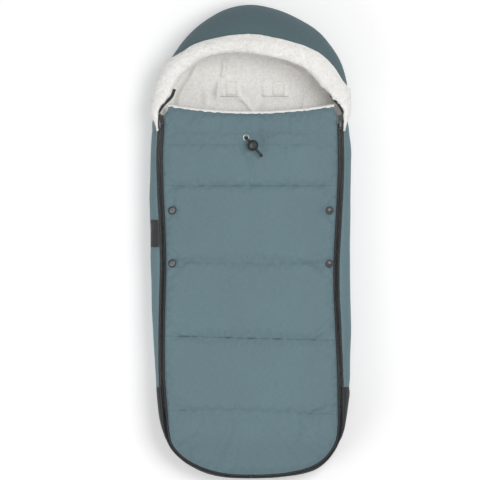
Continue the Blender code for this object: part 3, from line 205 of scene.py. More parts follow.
def linked(name: str, data: bpy.types.ID) -> Piece:
    """A new object of a mesh, lamp or camera, in the scene."""
    made = bpy.data.objects.new(name, data)
    bpy.context.scene.collection.objects.link(made)
    return made


def mesh_piece(name: str, points: Array, faces: Array, uv: Array | None = None, sharp: float = 50) -> Piece:
    """Make a mesh object at the origin.

    Args:
        name: the piece's name.
        points: places, one row each.
        faces: corner numbers, four a face.
        uv: surface coordinates in metres for each point, or None.
        sharp: edges that turn by more than this many degrees stay sharp.

    Returns:
        The new object, with its faces pointing outwards if it is closed.
    """
    points = np.asarray(points, float).reshape(-1, 3)
    if signed_volume(points, faces) < 0:
        faces = faces[:, ::-1]
    mesh = bpy.data.meshes.new(name)
    mesh.from_pydata(points.astype(np.float32), [], faces)
    if uv is not None:
        layer = mesh.uv_layers.new(name="cloth")
        corners = np.empty(len(mesh.loops), np.int32)
        mesh.loops.foreach_get("vertex_index", corners)
        layer.data.foreach_set("uv", uv.reshape(-1, 2)[corners].astype(np.float32).ravel())
    mesh.shade_smooth()
    mesh.set_sharp_from_angle(angle=math.radians(sharp))
    return linked(name, mesh)


def pad_piece(name: str, top: Array, bottom: Array, uv: Array | None = None, sharp: float = 50) -> Piece:
    """Close two like grids, one over the other, into one pad with a wall round its edge."""
    rows, columns = top.shape[:2]
    count = rows * columns
    numbers = np.arange(count).reshape(rows, columns)
    rim = np.concatenate((numbers[0, :-1], numbers[:-1, -1], numbers[-1, :0:-1], numbers[:0:-1, 0]))
    after = np.roll(rim, -1)
    wall = np.stack((after, rim, rim + count, after + count), axis=1)
    above = grid_faces(rows, columns)
    faces = np.concatenate((above, above[:, ::-1] + count, wall))
    points = np.concatenate((top.reshape(-1, 3), bottom.reshape(-1, 3)))
    uv = arc_lengths(top) if uv is None else uv
    return mesh_piece(name, points, faces, np.concatenate((uv, uv)), sharp)


def tube_piece(name: str, rings: Array, uv: Array | None = None, sharp: float = 50) -> Piece:
    """Join rings, given as (ring, point, xyz), into a tube whose ends are gathered to their middles."""
    ends = [np.repeat(r.mean(axis=0, keepdims=True), r.shape[0], axis=0) for r in (rings[0], rings[-1])]
    rings = np.concatenate((ends[0][None], rings, ends[1][None]))
    if uv is not None:
        uv = np.concatenate((uv[:1], uv, uv[-1:]))
    rows, columns = rings.shape[:2]
    piece = mesh_piece(name, rings.reshape(-1, 3), grid_faces(rows, columns, loop=True), uv, sharp)
    merge_doubles(piece)
    return piece


def merge_doubles(piece: Piece) -> None:
    """Weld points that lie in one place, so that poles and seams close."""
    work = bmesh.new()
    work.from_mesh(piece.data)
    bmesh.ops.remove_doubles(work, verts=work.verts[:], dist=1e-6)
    bmesh.ops.dissolve_degenerate(work, edges=work.edges[:], dist=1e-7)
    work.to_mesh(piece.data)
    work.free()


def cut_away(piece: Piece, cutters: Sequence[Piece]) -> None:
    """Take closed cutters out of a closed piece, and remove the cutters."""
    for cutter in cutters:
        modifier = piece.modifiers.new("cut", "BOOLEAN")
        modifier.operation, modifier.solver, modifier.object = "DIFFERENCE", "EXACT", cutter
    apply_modifiers(piece)
    for cutter in cutters:
        bpy.data.objects.remove(cutter, do_unlink=True)


def apply_modifiers(piece: Piece) -> None:
    """Make what the modifiers give the piece's own mesh, and drop them."""
    bpy.context.view_layer.update()
    graph = bpy.context.evaluated_depsgraph_get()
    seen = piece.evaluated_get(graph)
    finished = bpy.data.meshes.new_from_object(seen, preserve_all_data_layers=True, depsgraph=graph)
    old = piece.data
    piece.modifiers.clear()
    piece.data = finished
    bpy.data.meshes.remove(old)


def box_piece(name: str, low: Sequence[float], high: Sequence[float]) -> Piece:
    """A closed box between two corners."""
    x, y, z = (np.array([a, b]) for a, b in zip(low, high))
    ring = np.array([[x[0], y[0]], [x[1], y[0]], [x[1], y[1]], [x[0], y[1]]])
    return tube_piece(name, np.array([np.column_stack((ring, np.full(4, level))) for level in z]))


class PlanCurve:
    """A curve seen from above, looked up by the distance along it.

    It runs from the axis at the head end down the right-hand side, so that a negative distance is
    the same place on the left-hand side.
    """

    def __init__(self, x: Array, y: Array) -> None:
        """Take dense points and work out distances and inward directions, a quarter turn from the run."""
        self.x, self.y = np.asarray(x, float), np.asarray(y, float)
        steps = np.hypot(np.diff(self.x), np.diff(self.y))
        self.distance = np.concatenate(([0.0], np.cumsum(steps)))
        self.length = float(self.distance[-1])
        along_x, along_y = np.gradient(self.x, self.distance), np.gradient(self.y, self.distance)
        size = np.hypot(along_x, along_y)
        self.nx, self.ny = along_y / size, -along_x / size

    def at(self, signed: Array) -> tuple[Array, Array]:
        """Points and unit inward directions, each as rows of x and y."""
        run = np.abs(np.asarray(signed, float))
        side = np.where(np.asarray(signed) < 0, -1.0, 1.0)
        x, y, nx, ny = (np.interp(run, self.distance, v) for v in (self.x, self.y, self.nx, self.ny))
        size = np.hypot(nx, ny)
        return np.stack((x * side, y), axis=-1), np.stack((nx * side, ny), axis=-1) / size[..., None]

    def at_y(self, y: Array) -> Array:
        """Distance at which the right-hand side, which only goes down, passes y."""
        return np.interp(-np.asarray(y, float), -self.y, self.distance)

    def nearest(self, points: Array) -> Array:
        """Distances of the places on the right-hand side that lie nearest to right-hand points."""
        gaps = np.hypot(self.x[None] - points[:, :1], self.y[None] - points[:, 1:2])
        return self.distance[np.argmin(gaps, axis=1)]


def quarter_curve(half_width: float, reach: float, roundness: float, count: int) -> tuple[Array, Array]:
    """Quarter of a rounded oval, from the axis to the side: sine and cosine to the power 2 / roundness."""
    angle = np.linspace(0, HALF_TURN / 2, count)
    return half_width * np.sin(angle) ** (2 / roundness), reach * np.cos(angle) ** (2 / roundness)


@dataclass(frozen=True)
class Layer:
    """Depths of one cloth layer below the outer face."""

    shallow: float
    deep: float


@dataclass
class FootmuffPlan:
    """Sizes that the pieces share, and the curves that they follow."""

    length: float = 0.948
    hood_reach: float = 0.200
    hood_half_width: float = 0.194
    side_half_width: float = 0.200
    toe_reach: float = 0.188
    toe_half_width: float = 0.196
    rim: float = 0.078
    hood_rise: float = 0.058
    hood_start: float = 0.222
    mouth_corner: float = 0.258
    corner_length: float = 0.044
    zip_x: float = 0.180
    zip_half_width: float = 0.0065
    zip_straight_end: float = -0.356
    zip_tail_end: float = 0.316
    lower_fold_y: float = -0.336
    join_y: float = -0.192
    arch_top: float = 0.3860
    arch_radius: float = 0.250
    arch_skew: float = 0.10
    arch_smooth: float = 0.110
    hood_drawn_in: float = 0.042
    neck_length: float = 0.100
    toe_ease: float = 0.170
    toe_roundness: float = 2.75
    zip_roundness: float = 2.4
    toe_gap: float = 0.0045
    mouth_step: float = 0.023
    mouth_depth: float = 0.063
    mouth_power: float = 3.5
    zip_sink: float = 0.0008
    toe_drop: float = 0.024
    toe_lean: float = math.radians(60)
    toe_lean_length: float = 0.050
    foot_inset: float = 0.030
    foot_spread: float = 0.010
    shoulder: float = 0.042
    hood_shoulder: float = 0.018
    toe_shoulder: float = 0.012
    fold_in: float = 0.003
    outer: Layer = Layer(0.0, 0.0118)
    lining: Layer = Layer(0.0121, 0.0161)
    count: int = 1500
    outline: PlanCurve = field(init=False)
    zip_line: PlanCurve = field(init=False)
    hood_rim: tuple[Array, Array] = field(init=False)

    def __post_init__(self) -> None:
        """Build the outline and the zip's line from the sizes."""
        self.outline = self._outline()
        self.zip_line = self._zip_line()
        self.hood_rim = self._hood_rim()

    def _outline(self) -> PlanCurve:
        """Drawn-in quarter ellipse at the hood, eased sides, rounded oval at the toe."""
        angle = np.linspace(0, HALF_TURN / 2, self.count)
        drawn = 1 - self.hood_drawn_in * np.sin(2 * angle) ** 2
        base, toe = self.length / 2 - self.hood_reach, self.toe_reach - self.length / 2
        side_y = np.linspace(base, toe, self.count)[1:-1]
        side, neck_length = self.side_half_width, self.neck_length
        neck = ease(side_y, base - neck_length, neck_length) * (side - self.hood_half_width)
        narrow = ease(-side_y, -toe - self.toe_ease, self.toe_ease) * (side - self.toe_half_width)
        toe_x, toe_y = quarter_curve(self.toe_half_width, self.toe_reach, self.toe_roundness, self.count)
        hood_x, hood_y = self.hood_half_width * np.sin(angle) * drawn, self.hood_reach * np.cos(angle) * drawn
        x = np.concatenate((hood_x, side - neck - narrow, toe_x[::-1]))
        return PlanCurve(x, np.concatenate((base + hood_y, side_y, toe - toe_y[::-1])))

    def _zip_line(self) -> PlanCurve:
        """Along the hood's mouth from the tail's end, straight down the side, and round the toe."""
        outline_y = np.linspace(self.zip_tail_end, self.hood_start, 240)
        point, inward = self.outline.at(self.outline.at_y(outline_y))
        mouth = point + inward * self.mouth_inset(outline_y)[:, None]
        edge = PlanCurve(mouth[:, 0], mouth[:, 1])
        above = edge.y > self.mouth_corner
        x = (edge.x + edge.nx * self.zip_half_width)[above]
        y = (edge.y + edge.ny * self.zip_half_width)[above]
        straight = np.linspace(self.mouth_corner, self.zip_straight_end, self.count)[:-1]
        reach = self.zip_straight_end + self.length / 2 - self.toe_gap
        toe_x, toe_y = quarter_curve(self.zip_x, reach, self.zip_roundness, self.count)
        x = np.concatenate((x, np.full(len(straight), self.zip_x), toe_x[::-1]))
        return PlanCurve(x, np.concatenate((y, straight, self.zip_straight_end - toe_y[::-1])))

    def hood_share(self, y: Array) -> Array:
        """0 where the hood starts and 1 at its end."""
        return np.clip((np.asarray(y) - self.hood_start) / (self.length / 2 - self.hood_start), 0, 1)

    def mouth_inset(self, y: Array) -> Array:
        """How far the hood's mouth edge lies inside the outline, beside a y on the outline."""
        y = np.asarray(y, float)
        beside, _ = self.outline.at(self.outline.at_y(np.minimum(y, self.mouth_corner)))
        at_side = beside[..., 0] - self.zip_x - self.zip_half_width
        corner = self.mouth_step * ease(y, self.mouth_corner, self.corner_length)
        return at_side + corner + self.mouth_depth * self.hood_share(y) ** self.mouth_power

    def rim_height(self, y: Array) -> Array:
        """Height of the wall's upper edge."""
        return self.rim + self.hood_rise * ease(y, self.mouth_corner, self.length / 2 - self.mouth_corner)

    def zip_height(self, y: Array) -> Array:
        """Height of the zip's middle."""
        end = self.zip_straight_end
        drop = self.toe_drop * ease(-np.asarray(y), -end, end + self.length / 2)
        return self.rim_height(y) - self.zip_sink - drop

    def zip_tilt(self, y: Array) -> Array:
        """How far the zip's band leans outwards round the toe, in radians."""
        return self.toe_lean * ease(-np.asarray(y), -self.zip_straight_end, self.toe_lean_length)

    def zip_frame(self, signed: Array) -> Triple:
        """Middle of the zip, the direction to the inside along its band, and the band's upward normal."""
        point, inward = self.zip_line.at(signed)
        tilt = self.zip_tilt(point[..., 1])[..., None]
        middle = np.concatenate((point, self.zip_height(point[..., 1])[..., None]), axis=-1)
        across = np.concatenate((inward * np.cos(tilt), np.sin(tilt)), axis=-1)
        return middle, across, np.concatenate((-inward * np.sin(tilt), np.cos(tilt)), axis=-1)

    def foot_size(self, y: Array) -> tuple[Array, Array]:
        """Inset of the wall's foot, and height of its shoulder."""
        hood = ease(self.hood_share(y), 0, 1)
        toe = ease(-np.asarray(y), self.length / 2 - self.toe_reach, self.toe_reach)
        inset = self.foot_inset + self.foot_spread * np.maximum(hood, toe)
        return inset, self.shoulder + self.hood_shoulder * hood - self.toe_shoulder * toe

    def _hood_rim(self) -> tuple[Array, Array]:
        """Distances round the outline from left to right, and the hood's rim beside them, seen from above.

        The rim lies an inset inside the outline. In the middle it runs over into an arc, its top's y
        less x squared over twice its radius, and the whole leans down towards the right. A
        bell-weighted mean takes out the corners between these.
        """
        end = float(self.outline.at_y(self.hood_start)) + MM
        run = np.linspace(-end, end, self.count)
        edge, inward = self.outline.at(run)
        plan = edge + inward * self.mouth_inset(edge[:, 1])[:, None]
        arch = self.arch_top - plan[:, 0] ** 2 / (2 * self.arch_radius)
        plan[:, 1] += (arch - plan[:, 1]) * (1 - ease(np.abs(plan[:, 0]), 0.065, 0.055))
        lean = ease(edge[:, 1], self.mouth_corner + 0.02, 0.05)
        plan[:, 1] -= self.arch_skew * plan[:, 0] * lean
        half = round(self.arch_smooth / (run[1] - run[0]) / 2)
        bell = np.hanning(2 * half + 3)[1:-1]
        padded = np.pad(plan, ((half, half), (0, 0)), mode="reflect", reflect_type="odd")
        mean = np.stack([np.convolve(padded[:, k], bell / bell.sum(), mode="valid") for k in (0, 1)], axis=1)
        return run, plan + (mean - plan) * ease(edge[:, 1:], 0.285, 0.035)

    def hood_wall(self, signed: Array) -> Triple:
        """Outline point, inward direction and rim of the hood."""
        edge, inward = self.outline.at(signed)
        run, rim = self.hood_rim
        plan = np.stack([np.interp(signed, run, rim[:, k]) for k in (0, 1)], axis=1)
        return edge, inward, np.column_stack((plan, self.rim_height(edge[:, 1])))

    def zip_wall(self, signed: Array) -> Triple:
        """Outline point, inward direction and rim beside places along the zip."""
        run = np.abs(signed)
        side = np.where(np.asarray(signed) < 0, -1.0, 1.0)
        middle, across, _ = self.zip_frame(run)
        rim = middle - across * self.zip_half_width
        near_toe = self.outline.nearest(middle[:, :2])
        width = 9
        padded = np.pad(near_toe, width // 2, mode="reflect", reflect_type="odd")
        near_toe = np.convolve(padded, np.ones(width) / width, mode="valid")
        beside = self.outline.at_y(middle[:, 1])
        mix = ease(-middle[:, 1], self.length / 2 - self.toe_reach - 0.03, 0.03)
        edge, inward = self.outline.at(beside + (near_toe - beside) * mix)
        tilt = self.zip_tilt(middle[:, 1])
        rim[:, 2] += self.zip_sink * (np.cos(tilt) - 2 * np.sin(tilt))
        for rows in (edge, inward, rim):
            rows[:, 0] *= side
        return edge, inward, rim

    def wall_grid(self, wall: Triple, depth: float, turn: Array) -> Array:
        """Points of one face of the wall.

        A quarter ellipse leads from the foot (turn 0) up to the shoulder (turn 1), and another one
        leads from there in to the rim (turn 2).

        Args:
            wall: outline points, inward directions and rim points.
            depth: how far the face lies inside the outer one.
            turn: places up the wall.

        Returns:
            A grid of points, one row for each outline point.
        """
        edge, inward, rim = wall
        inset, shoulder = (v[:, None] for v in self.foot_size(edge[:, 1]))
        rim_inset = np.sum((rim[:, :2] - edge) * inward, axis=1)
        inside = depth > 0
        drop = self.fold_in if inside else 0.0
        fold = np.maximum(0, depth + self.fold_in - np.maximum(rim_inset, 0)) * inside
        edge_in, rim_in = edge + inward * depth, rim[:, :2] + inward * fold[:, None]
        low = (1 - np.clip(turn, 0, 1))[None] * HALF_TURN / 2
        high = np.clip(turn - 1, 0, 1)[None] * HALF_TURN / 2
        inward_by = inset - (inset - depth) * np.cos(low) - depth
        plan = edge_in[:, None] + inward[:, None] * inward_by[..., None]
        plan = plan + (rim_in - edge_in)[:, None] * (1 - np.cos(high))[..., None]
        z = shoulder - (shoulder - depth) * np.sin(low)
        z = z + (rim[:, 2:] - depth - drop - shoulder) * np.sin(high)
        return np.concatenate((plan, z[..., None]), axis=2)


PLAN = FootmuffPlan()
Table = tuple[tuple[float, float], ...]


@dataclass(frozen=True)
class Lay:
    """How the soft shell lies: zips and outline wander a few millimetres from the cut.

    Attributes:
        left: (y, sideways shift) of the left-hand zip beyond the outline's, in metres.
        right: the same for the right-hand zip.
        edge_left: (y, sideways shift) of the left-hand outline.
        edge_right: the same on the right.
        still_x: distance from the middle at which the zips' shift has faded out.
        fade: how far before that it starts to fade.
        middle: half width of the stretch over which the outline's shift grows.
    """

    left: Table
    right: Table
    edge_left: Table
    edge_right: Table
    still_x: float = 0.203
    fade: float = 0.0165
    middle: float = 0.13

    @staticmethod
    def _read(table: Table, y: Array) -> Array:
        """Read a table, softened by the mean of five places 8 mm apart."""
        ys, shifts = (np.array(v) for v in zip(*sorted(table)))
        return sum(np.interp(np.asarray(y) + k * 8 * MM, ys, shifts) for k in (-2, -1, 0, 1, 2)) / 5

    def shift(self, points: Array) -> Array:
        """Points moved sideways: most at the zips, fading to the middle and to the outline."""
        x, y = points[..., 0], points[..., 1]
        reach = np.clip(np.abs(x) / PLAN.zip_x, 0, 1) * np.clip((self.still_x - np.abs(x)) / self.fade, 0, 1)
        zips = np.where(x < 0, self._read(self.left, y), self._read(self.right, y))
        edge = np.where(x < 0, self._read(self.edge_left, y), self._read(self.edge_right, y))
        moved = np.array(points, float)
        moved[..., 0] += zips * reach + edge * ease(np.abs(x), 0, self.middle)
        return moved


LAY = Lay(
    left=(
        (0.30, 0), (0.262, 0), (0.232, 0.001), (0.202, 0), (0.170, -0.001), (0.110, 0.002),
        (0.048, 0.005), (0.016, 0.0055), (-0.044, 0.006), (-0.106, 0.003), (-0.176, 0),
        (-0.216, -0.001), (-0.268, -0.006), (-0.300, -0.006), (-0.336, -0.004), (-0.386, -0.001), (-0.47, 0),
    ),
    right=(
        (0.30, 0), (0.262, 0), (0.232, -0.001), (0.150, 0), (0.094, -0.002), (0.064, -0.004),
        (0.016, -0.007), (-0.044, -0.011), (-0.106, -0.011), (-0.150, -0.010), (-0.208, -0.010),
        (-0.268, -0.006), (-0.300, -0.002), (-0.336, 0.004), (-0.376, 0.003), (-0.412, -0.002),
        (-0.47, -0.003),
    ),
    edge_left=(
        (0.48, 0.004), (0.45, -0.001), (0.42, 0.001), (0.39, 0.005), (0.36, 0.006), (0.32, 0.002), (0.27, 0),
        (0.184, -0.002), (0.084, -0.004), (-0.016, -0.002), (-0.116, 0), (-0.216, 0.002), (-0.276, 0.008),
        (-0.316, 0.010), (-0.376, 0.011), (-0.416, 0.009), (-0.436, 0.010), (-0.47, 0.012),
    ),
    edge_right=(
        (0.48, 0.012), (0.45, 0.014), (0.42, 0.013), (0.384, 0.012), (0.36, 0.010), (0.32, 0.005), (0.27, 0),
        (0.084, 0), (-0.016, 0.001), (-0.116, 0.002), (-0.216, 0.006), (-0.276, 0.004), (-0.300, 0.001),
        (-0.336, -0.004), (-0.376, -0.003), (-0.396, 0), (-0.416, 0.002), (-0.436, 0.008), (-0.47, 0.016),
    ),
)


Colour = tuple[int, int, int]
Shade = tuple[float, ...]


def linear(red: int, green: int, blue: int) -> Shade:
    """A screen colour, 0 to 255 a channel, as the shaders take it."""
    shares = (channel / 255 for channel in (red, green, blue))
    return (*(s / 12.92 if s <= 0.04045 else ((s + 0.055) / 1.055) ** 2.4 for s in shares), 1.0)


def toned(shade: Shade, factor: float, lift: float = 0.0) -> Shade:
    """A shade made darker or paler by a factor and a lift, and held at white."""
    return (*(min(1, c * factor + lift) for c in shade[:3]), 1.0)


class Recipe:
    """A material's nodes, joined up by short calls: a number is set on a socket, an output is linked."""

    def __init__(self, name: str, colour: Shade, roughness: float, metallic: float = 0.0) -> None:
        """Start a material from its plain colour and gloss."""
        self.material = bpy.data.materials.new(name)
        self.material.use_nodes = True
        self.tree = self.material.node_tree
        self.shader = self.tree.nodes["Principled BSDF"]
        self.surface(Base_Color=colour, Roughness=roughness, Metallic=metallic)
        self.material.diffuse_color = colour

    def surface(self, **inputs: float | Shade | Socket) -> None:
        """Set or link inputs of the surface, their words joined by underscores."""
        self.feed(self.shader, {word.replace("_", " "): value for word, value in inputs.items()})

    def feed(self, node: bpy.types.Node, inputs: dict) -> None:
        """Set or link a node's inputs by name or number."""
        for name, value in inputs.items():
            if isinstance(value, Socket):
                self.tree.links.new(value, node.inputs[name])
            else:
                node.inputs[name].default_value = value

    def node(self, kind: str, inputs: dict, output: str | int = 0, **settings: str | float) -> Socket:
        """Add a node with its settings and inputs, and give the output that is asked for."""
        made = self.tree.nodes.new(f"ShaderNode{kind}")
        for name, value in settings.items():
            setattr(made, name, value)
        self.feed(made, inputs)
        return made.outputs[output]

    def place(self, scale: tuple[float, float, float] = (1, 1, 1)) -> Socket:
        """The piece's own coordinates in metres, times a scale."""
        start = self.node("TexCoord", {}, "Object")
        return self.node("Mapping", {"Vector": start, "Scale": scale}, "Vector")

    def cloth(self, along: float, across: float, third: float = 1) -> Socket:
        """Coordinates along and across the cloth in metres, each times its own scale."""
        start = self.node("UVMap", {}, "UV", uv_map="cloth")
        return self.node("Mapping", {"Vector": start, "Scale": (along, across, third)}, "Vector")

    def noise(self, place: Socket, scale: float, detail: float = 3, distortion: float = 0) -> Socket:
        """Cloudy unevenness from 0 to 1."""
        inputs = {"Vector": place, "Scale": scale, "Detail": detail, "Distortion": distortion}
        return self.node("TexNoise", inputs, "Fac")

    def threads(self, place: Socket, across: str) -> Socket:
        """Rounded ridges across X or Y of a place counted in threads: the wave turns 20 times a unit."""
        shape = {"Scale": HALF_TURN / 10, "Distortion": 0.6, "Detail": 1, "Detail Scale": 0.4}
        return self.node("TexWave", {"Vector": place, **shape}, "Fac", bands_direction=across)

    def sums(self, operation: str, first: float | Socket, second: float | Socket) -> Socket:
        """One sum on two numbers or outputs."""
        return self.node("Math", {0: first, 1: second}, operation=operation)

    def span(self, value: Socket, low: float, high: float, to_low: float, to_high: float) -> Socket:
        """Stretch a range of numbers to another one, and hold it there."""
        inputs = {"Value": value, "From Min": low, "From Max": high, "To Min": to_low, "To Max": to_high}
        return self.node("MapRange", inputs)

    def blend(self, share: float | Socket, first: Shade | Socket, second: Shade | Socket) -> Socket:
        """Mix two colours."""
        return self.node("Mix", {0: share, 6: first, 7: second}, 2, data_type="RGBA")

    def relief(self, height: Socket, depth: float) -> None:
        """Bump the surface by a height from 0 to 1, in metres."""
        self.surface(Normal=self.node("Bump", {"Height": height, "Distance": depth, "Strength": 1.0}))

    def sheen(self, weight: float, roughness: float, tint: Shade = (1, 1, 1, 1)) -> None:
        """Give the cloth its pale edge light."""
        self.surface(Sheen_Weight=weight, Sheen_Roughness=roughness, Sheen_Tint=tint)

    def dress(self, piece: Piece) -> None:
        """Put the material on a piece, in place of what it has."""
        if not piece.material_slots:
            piece.data.materials.append(self.material)
        for slot in piece.material_slots:
            slot.material = self.material


@dataclass(frozen=True)
class Finish:
    """A material, made when it is wanted.

    Attributes:
        name: what the material is called.
        colour: its screen colour.
    """

    name: str
    colour: Colour

    def start(self, roughness: float, metallic: float = 0.0) -> tuple[Recipe, Shade]:
        """A recipe with the plain colour, and that colour as the shaders take it."""
        base = linear(*self.colour)
        return Recipe(self.name, base, roughness, metallic), base


@dataclass(frozen=True)
class WovenCloth(Finish):
    """Dense plain-woven cloth of mottled yarn, lightly glossy along the threads.

    Attributes:
        thread: width of one thread in metres.
        mottle: how far single threads stray from the colour, as a share.
        cloud: how far the cloth's own broad shade wanders, as a share.
        roughness: 0 glossy to 1 dull.
        crown: share of the value left at the hood's crown, fading in past the side walls: painted shade.
    """

    thread: float = 0.0005
    mottle: float = 0.10
    cloud: float = 0.03
    roughness: float = 0.72
    crown: float = 1.0
    YARN = (0.8, 0.05)
    PAINTED_SHADE_Y = (0.235, 0.335)

    def make(self) -> Recipe:
        """Threads both ways give the relief, and noise stretched each way gives single yarns their shade."""
        recipe, base = self.start(self.roughness)
        count = 1 / self.thread
        place = recipe.cloth(count, count, count)
        warp, weft = recipe.threads(place, "X"), recipe.threads(place, "Y")
        narrow, long = (count * share for share in self.YARN)
        along = recipe.noise(recipe.cloth(narrow, long), 1, 2)
        beside = recipe.noise(recipe.cloth(long, narrow), 1, 2)
        yarn = recipe.span(recipe.sums("ADD", along, beside), 0.7, 1.3, 0, 1)
        shade = recipe.blend(yarn, toned(base, 1 - self.mottle), toned(base, 1 + self.mottle))
        value = recipe.span(recipe.noise(recipe.place(), 9, 2), 0.3, 0.7, 1 - self.cloud, 1 + self.cloud)
        if self.crown < 1:
            # Painted shade: the colour's value falls towards the hood's crown, by the piece's y.
            headward = recipe.node("SeparateXYZ", {"Vector": recipe.place()}, "Y")
            value = recipe.sums("MULTIPLY", value, recipe.span(headward, *self.PAINTED_SHADE_Y, 1, self.crown))
        deeper = recipe.node("HueSaturation", {"Color": shade, "Value": value})
        gloss = recipe.span(yarn, 0, 1, self.roughness + 0.06, self.roughness - 0.06)
        recipe.surface(Base_Color=deeper, Roughness=gloss)
        weave = recipe.sums("MAXIMUM", warp, weft)
        recipe.relief(recipe.sums("ADD", weave, recipe.sums("MULTIPLY", yarn, 0.6)), self.thread * 0.16)
        recipe.sheen(0.08, 0.45, toned(base, 1.6, 0.1))
        return recipe


@dataclass(frozen=True)
class Pile(Finish):
    """Brushed fleece or curly sherpa: clumps of fibre with painted shade in the hollows between them.

    Attributes:
        painted_hollow_shade: screen colour between the clumps, painted shade where the relief is low.
        clump: width of a clump in metres.
        depth: how far the clumps stand up in metres.
    """

    painted_hollow_shade: Colour
    clump: float
    depth: float

    def make(self) -> Recipe:
        """Distorted noise at the clump's size for the tufts, and four times finer for the fibres."""
        recipe, base = self.start(0.95)
        place = recipe.place()
        clumps = recipe.sums("MULTIPLY", recipe.noise(place, 1 / self.clump, 3, 1.2), 0.75)
        fibres = recipe.sums("MULTIPLY", recipe.noise(place, 4.5 / self.clump, 4, 2.0), 0.25)
        height = recipe.sums("ADD", clumps, fibres)
        # Painted shade: the colour goes to the hollow colour where the clumps' relief is low.
        shown = recipe.span(height, 0.40, 0.60, 0, 1)
        recipe.surface(Base_Color=recipe.blend(shown, linear(*self.painted_hollow_shade), base))
        recipe.relief(height, self.depth)
        recipe.sheen(0.25, 0.5)
        return recipe


@dataclass(frozen=True)
class Metal(Finish):
    """Plated or lacquered metal with a fine uneven polish.

    Attributes:
        roughness: 0 polished to 1 dull.
        metallic: 1 bare, lower under lacquer.
        coat: thickness of the clear layer, 0 to 1.
    """

    roughness: float
    metallic: float = 1.0
    coat: float = 0.0

    def make(self) -> Recipe:
        """Noise stretched one way stands for polishing marks, in gloss and in faint relief."""
        recipe, base = self.start(self.roughness, self.metallic)
        marks = recipe.noise(recipe.place((1, 0.15, 1)), 2600, 3)
        worn = recipe.noise(recipe.place(), 420, 3)
        rubbed = recipe.blend(recipe.span(worn, 0.5, 0.8, 0, 0.6), base, toned(base, 1.35, 0.01))
        gloss = recipe.span(worn, 0.35, 0.65, self.roughness - 0.07, self.roughness + 0.10)
        recipe.surface(Base_Color=rubbed, Roughness=gloss)
        if self.coat:
            recipe.surface(Coat_Weight=self.coat, Coat_Roughness=0.15)
        recipe.relief(marks, 0.00002)
        return recipe


@dataclass(frozen=True)
class Moulded(Finish):
    """Moulded plastic with a fine spark-eroded grain.

    Attributes:
        roughness: 0 glossy to 1 dull.
    """

    roughness: float

    def make(self) -> Recipe:
        """Voronoi cells a few tenths of a millimetre wide give the grain."""
        recipe, _ = self.start(self.roughness)
        grain = recipe.node("TexVoronoi", {"Vector": recipe.place(), "Scale": 3200}, "Distance")
        smear = recipe.noise(recipe.place(), 160, 3)
        recipe.surface(Roughness=recipe.span(smear, 0.3, 0.7, self.roughness - 0.06, self.roughness + 0.08))
        recipe.relief(grain, 0.00003)
        return recipe


@dataclass(frozen=True)
class Ribbed(Finish):
    """Narrow woven goods whose ribs run across them: zip tape, braided cord and label ribbon.

    Attributes:
        rib: distance between ribs in metres.
        roughness: 0 glossy to 1 dull.
        slant: how far the ribs lean along the piece, as on a braid.
    """

    rib: float
    roughness: float = 0.7
    slant: float = 0.0

    def make(self) -> Recipe:
        """Ribs across and along, or with a slant both ways aslant, so that they cross as a braid's do;
        painted shade in the grooves and painted highlight on the crests.
        """
        recipe, base = self.start(self.roughness)
        count = 1 / self.rib
        if self.slant:
            first = recipe.threads(recipe.cloth(count, count * self.slant), "DIAGONAL")
            second = recipe.threads(recipe.cloth(count, -count * self.slant), "DIAGONAL")
        else:
            first = recipe.threads(recipe.cloth(count, 0), "X")
            second = recipe.threads(recipe.cloth(count, count), "Y")
        ribs = recipe.sums("MAXIMUM", first, second)
        # Painted shade and highlight: darker where the ribs are low, paler on their crests.
        colour = recipe.blend(recipe.span(ribs, 0.2, 0.9, 0, 1), toned(base, 0.72), toned(base, 1.18))
        recipe.surface(Base_Color=colour)
        recipe.relief(ribs, self.rib * 0.15)
        recipe.sheen(0.03, 0.5)
        return recipe


class Finishes:
    """Every finish of the footmuff, made once."""

    def __init__(self) -> None:
        """Make the materials."""
        self.shell = WovenCloth("grey_blue_woven_cloth", (101, 126, 133)).make()
        # The hood's cloth is the shell's colour, with painted shade darkening it towards the crown.
        self.hood = WovenCloth("hood_cloth_painted_shade", (101, 126, 133), crown=0.63).make()
        self.gusset = WovenCloth("black_toe_cloth", (36, 37, 39), roughness=0.78, mottle=0.16).make()
        # Each pile's second colour is painted shade in the hollows between its clumps.
        self.fleece = Pile("short_fleece", (254, 253, 250), (239, 237, 233), 0.0046, 0.0009).make()
        self.sherpa = Pile("curly_sherpa", (255, 254, 251), (246, 244, 240), 0.0042, 0.0008).make()
        # The ribbed finishes below carry painted shade in their grooves and painted highlight on their
        # crests.
        self.tape = Ribbed("zip_tape_weave", (34, 37, 40), 0.0007).make()
        self.coil = Moulded("zip_coil_nylon", (44, 48, 51), 0.42).make()
        self.thread = Ribbed("sewing_thread", (66, 84, 91), 0.0004, slant=0.5).make()
        self.pale_thread = Ribbed("channel_thread", (122, 144, 151), 0.0004, slant=0.5).make()
        # Real thread, made darker than the fleece partly as painted shade along the flaps' stitched grooves.
        self.fleece_thread = Ribbed("fleece_thread", (186, 183, 177), 0.0004, slant=0.5).make()
        self.black_metal = Metal("black_lacquered_metal", (40, 41, 43), 0.38, 0.55, 0.4).make()
        # Paler metal for the left snaps' middles: a painted reflection.
        self.snap_painted_reflection_metal = Metal("snap_cap_painted_reflection", (96, 101, 104), 0.40, 0.8).make()
        self.nickel = Metal("nickel_plate", (150, 152, 154), 0.30).make()
        self.plastic = Moulded("black_acetal", (28, 29, 31), 0.36).make()
        self.cord = Ribbed("braided_cord", (34, 36, 38), 0.0008, slant=1.0).make()
        self.ribbon = Ribbed("black_label_ribbon", (22, 22, 25), 0.0004, 0.6).make()


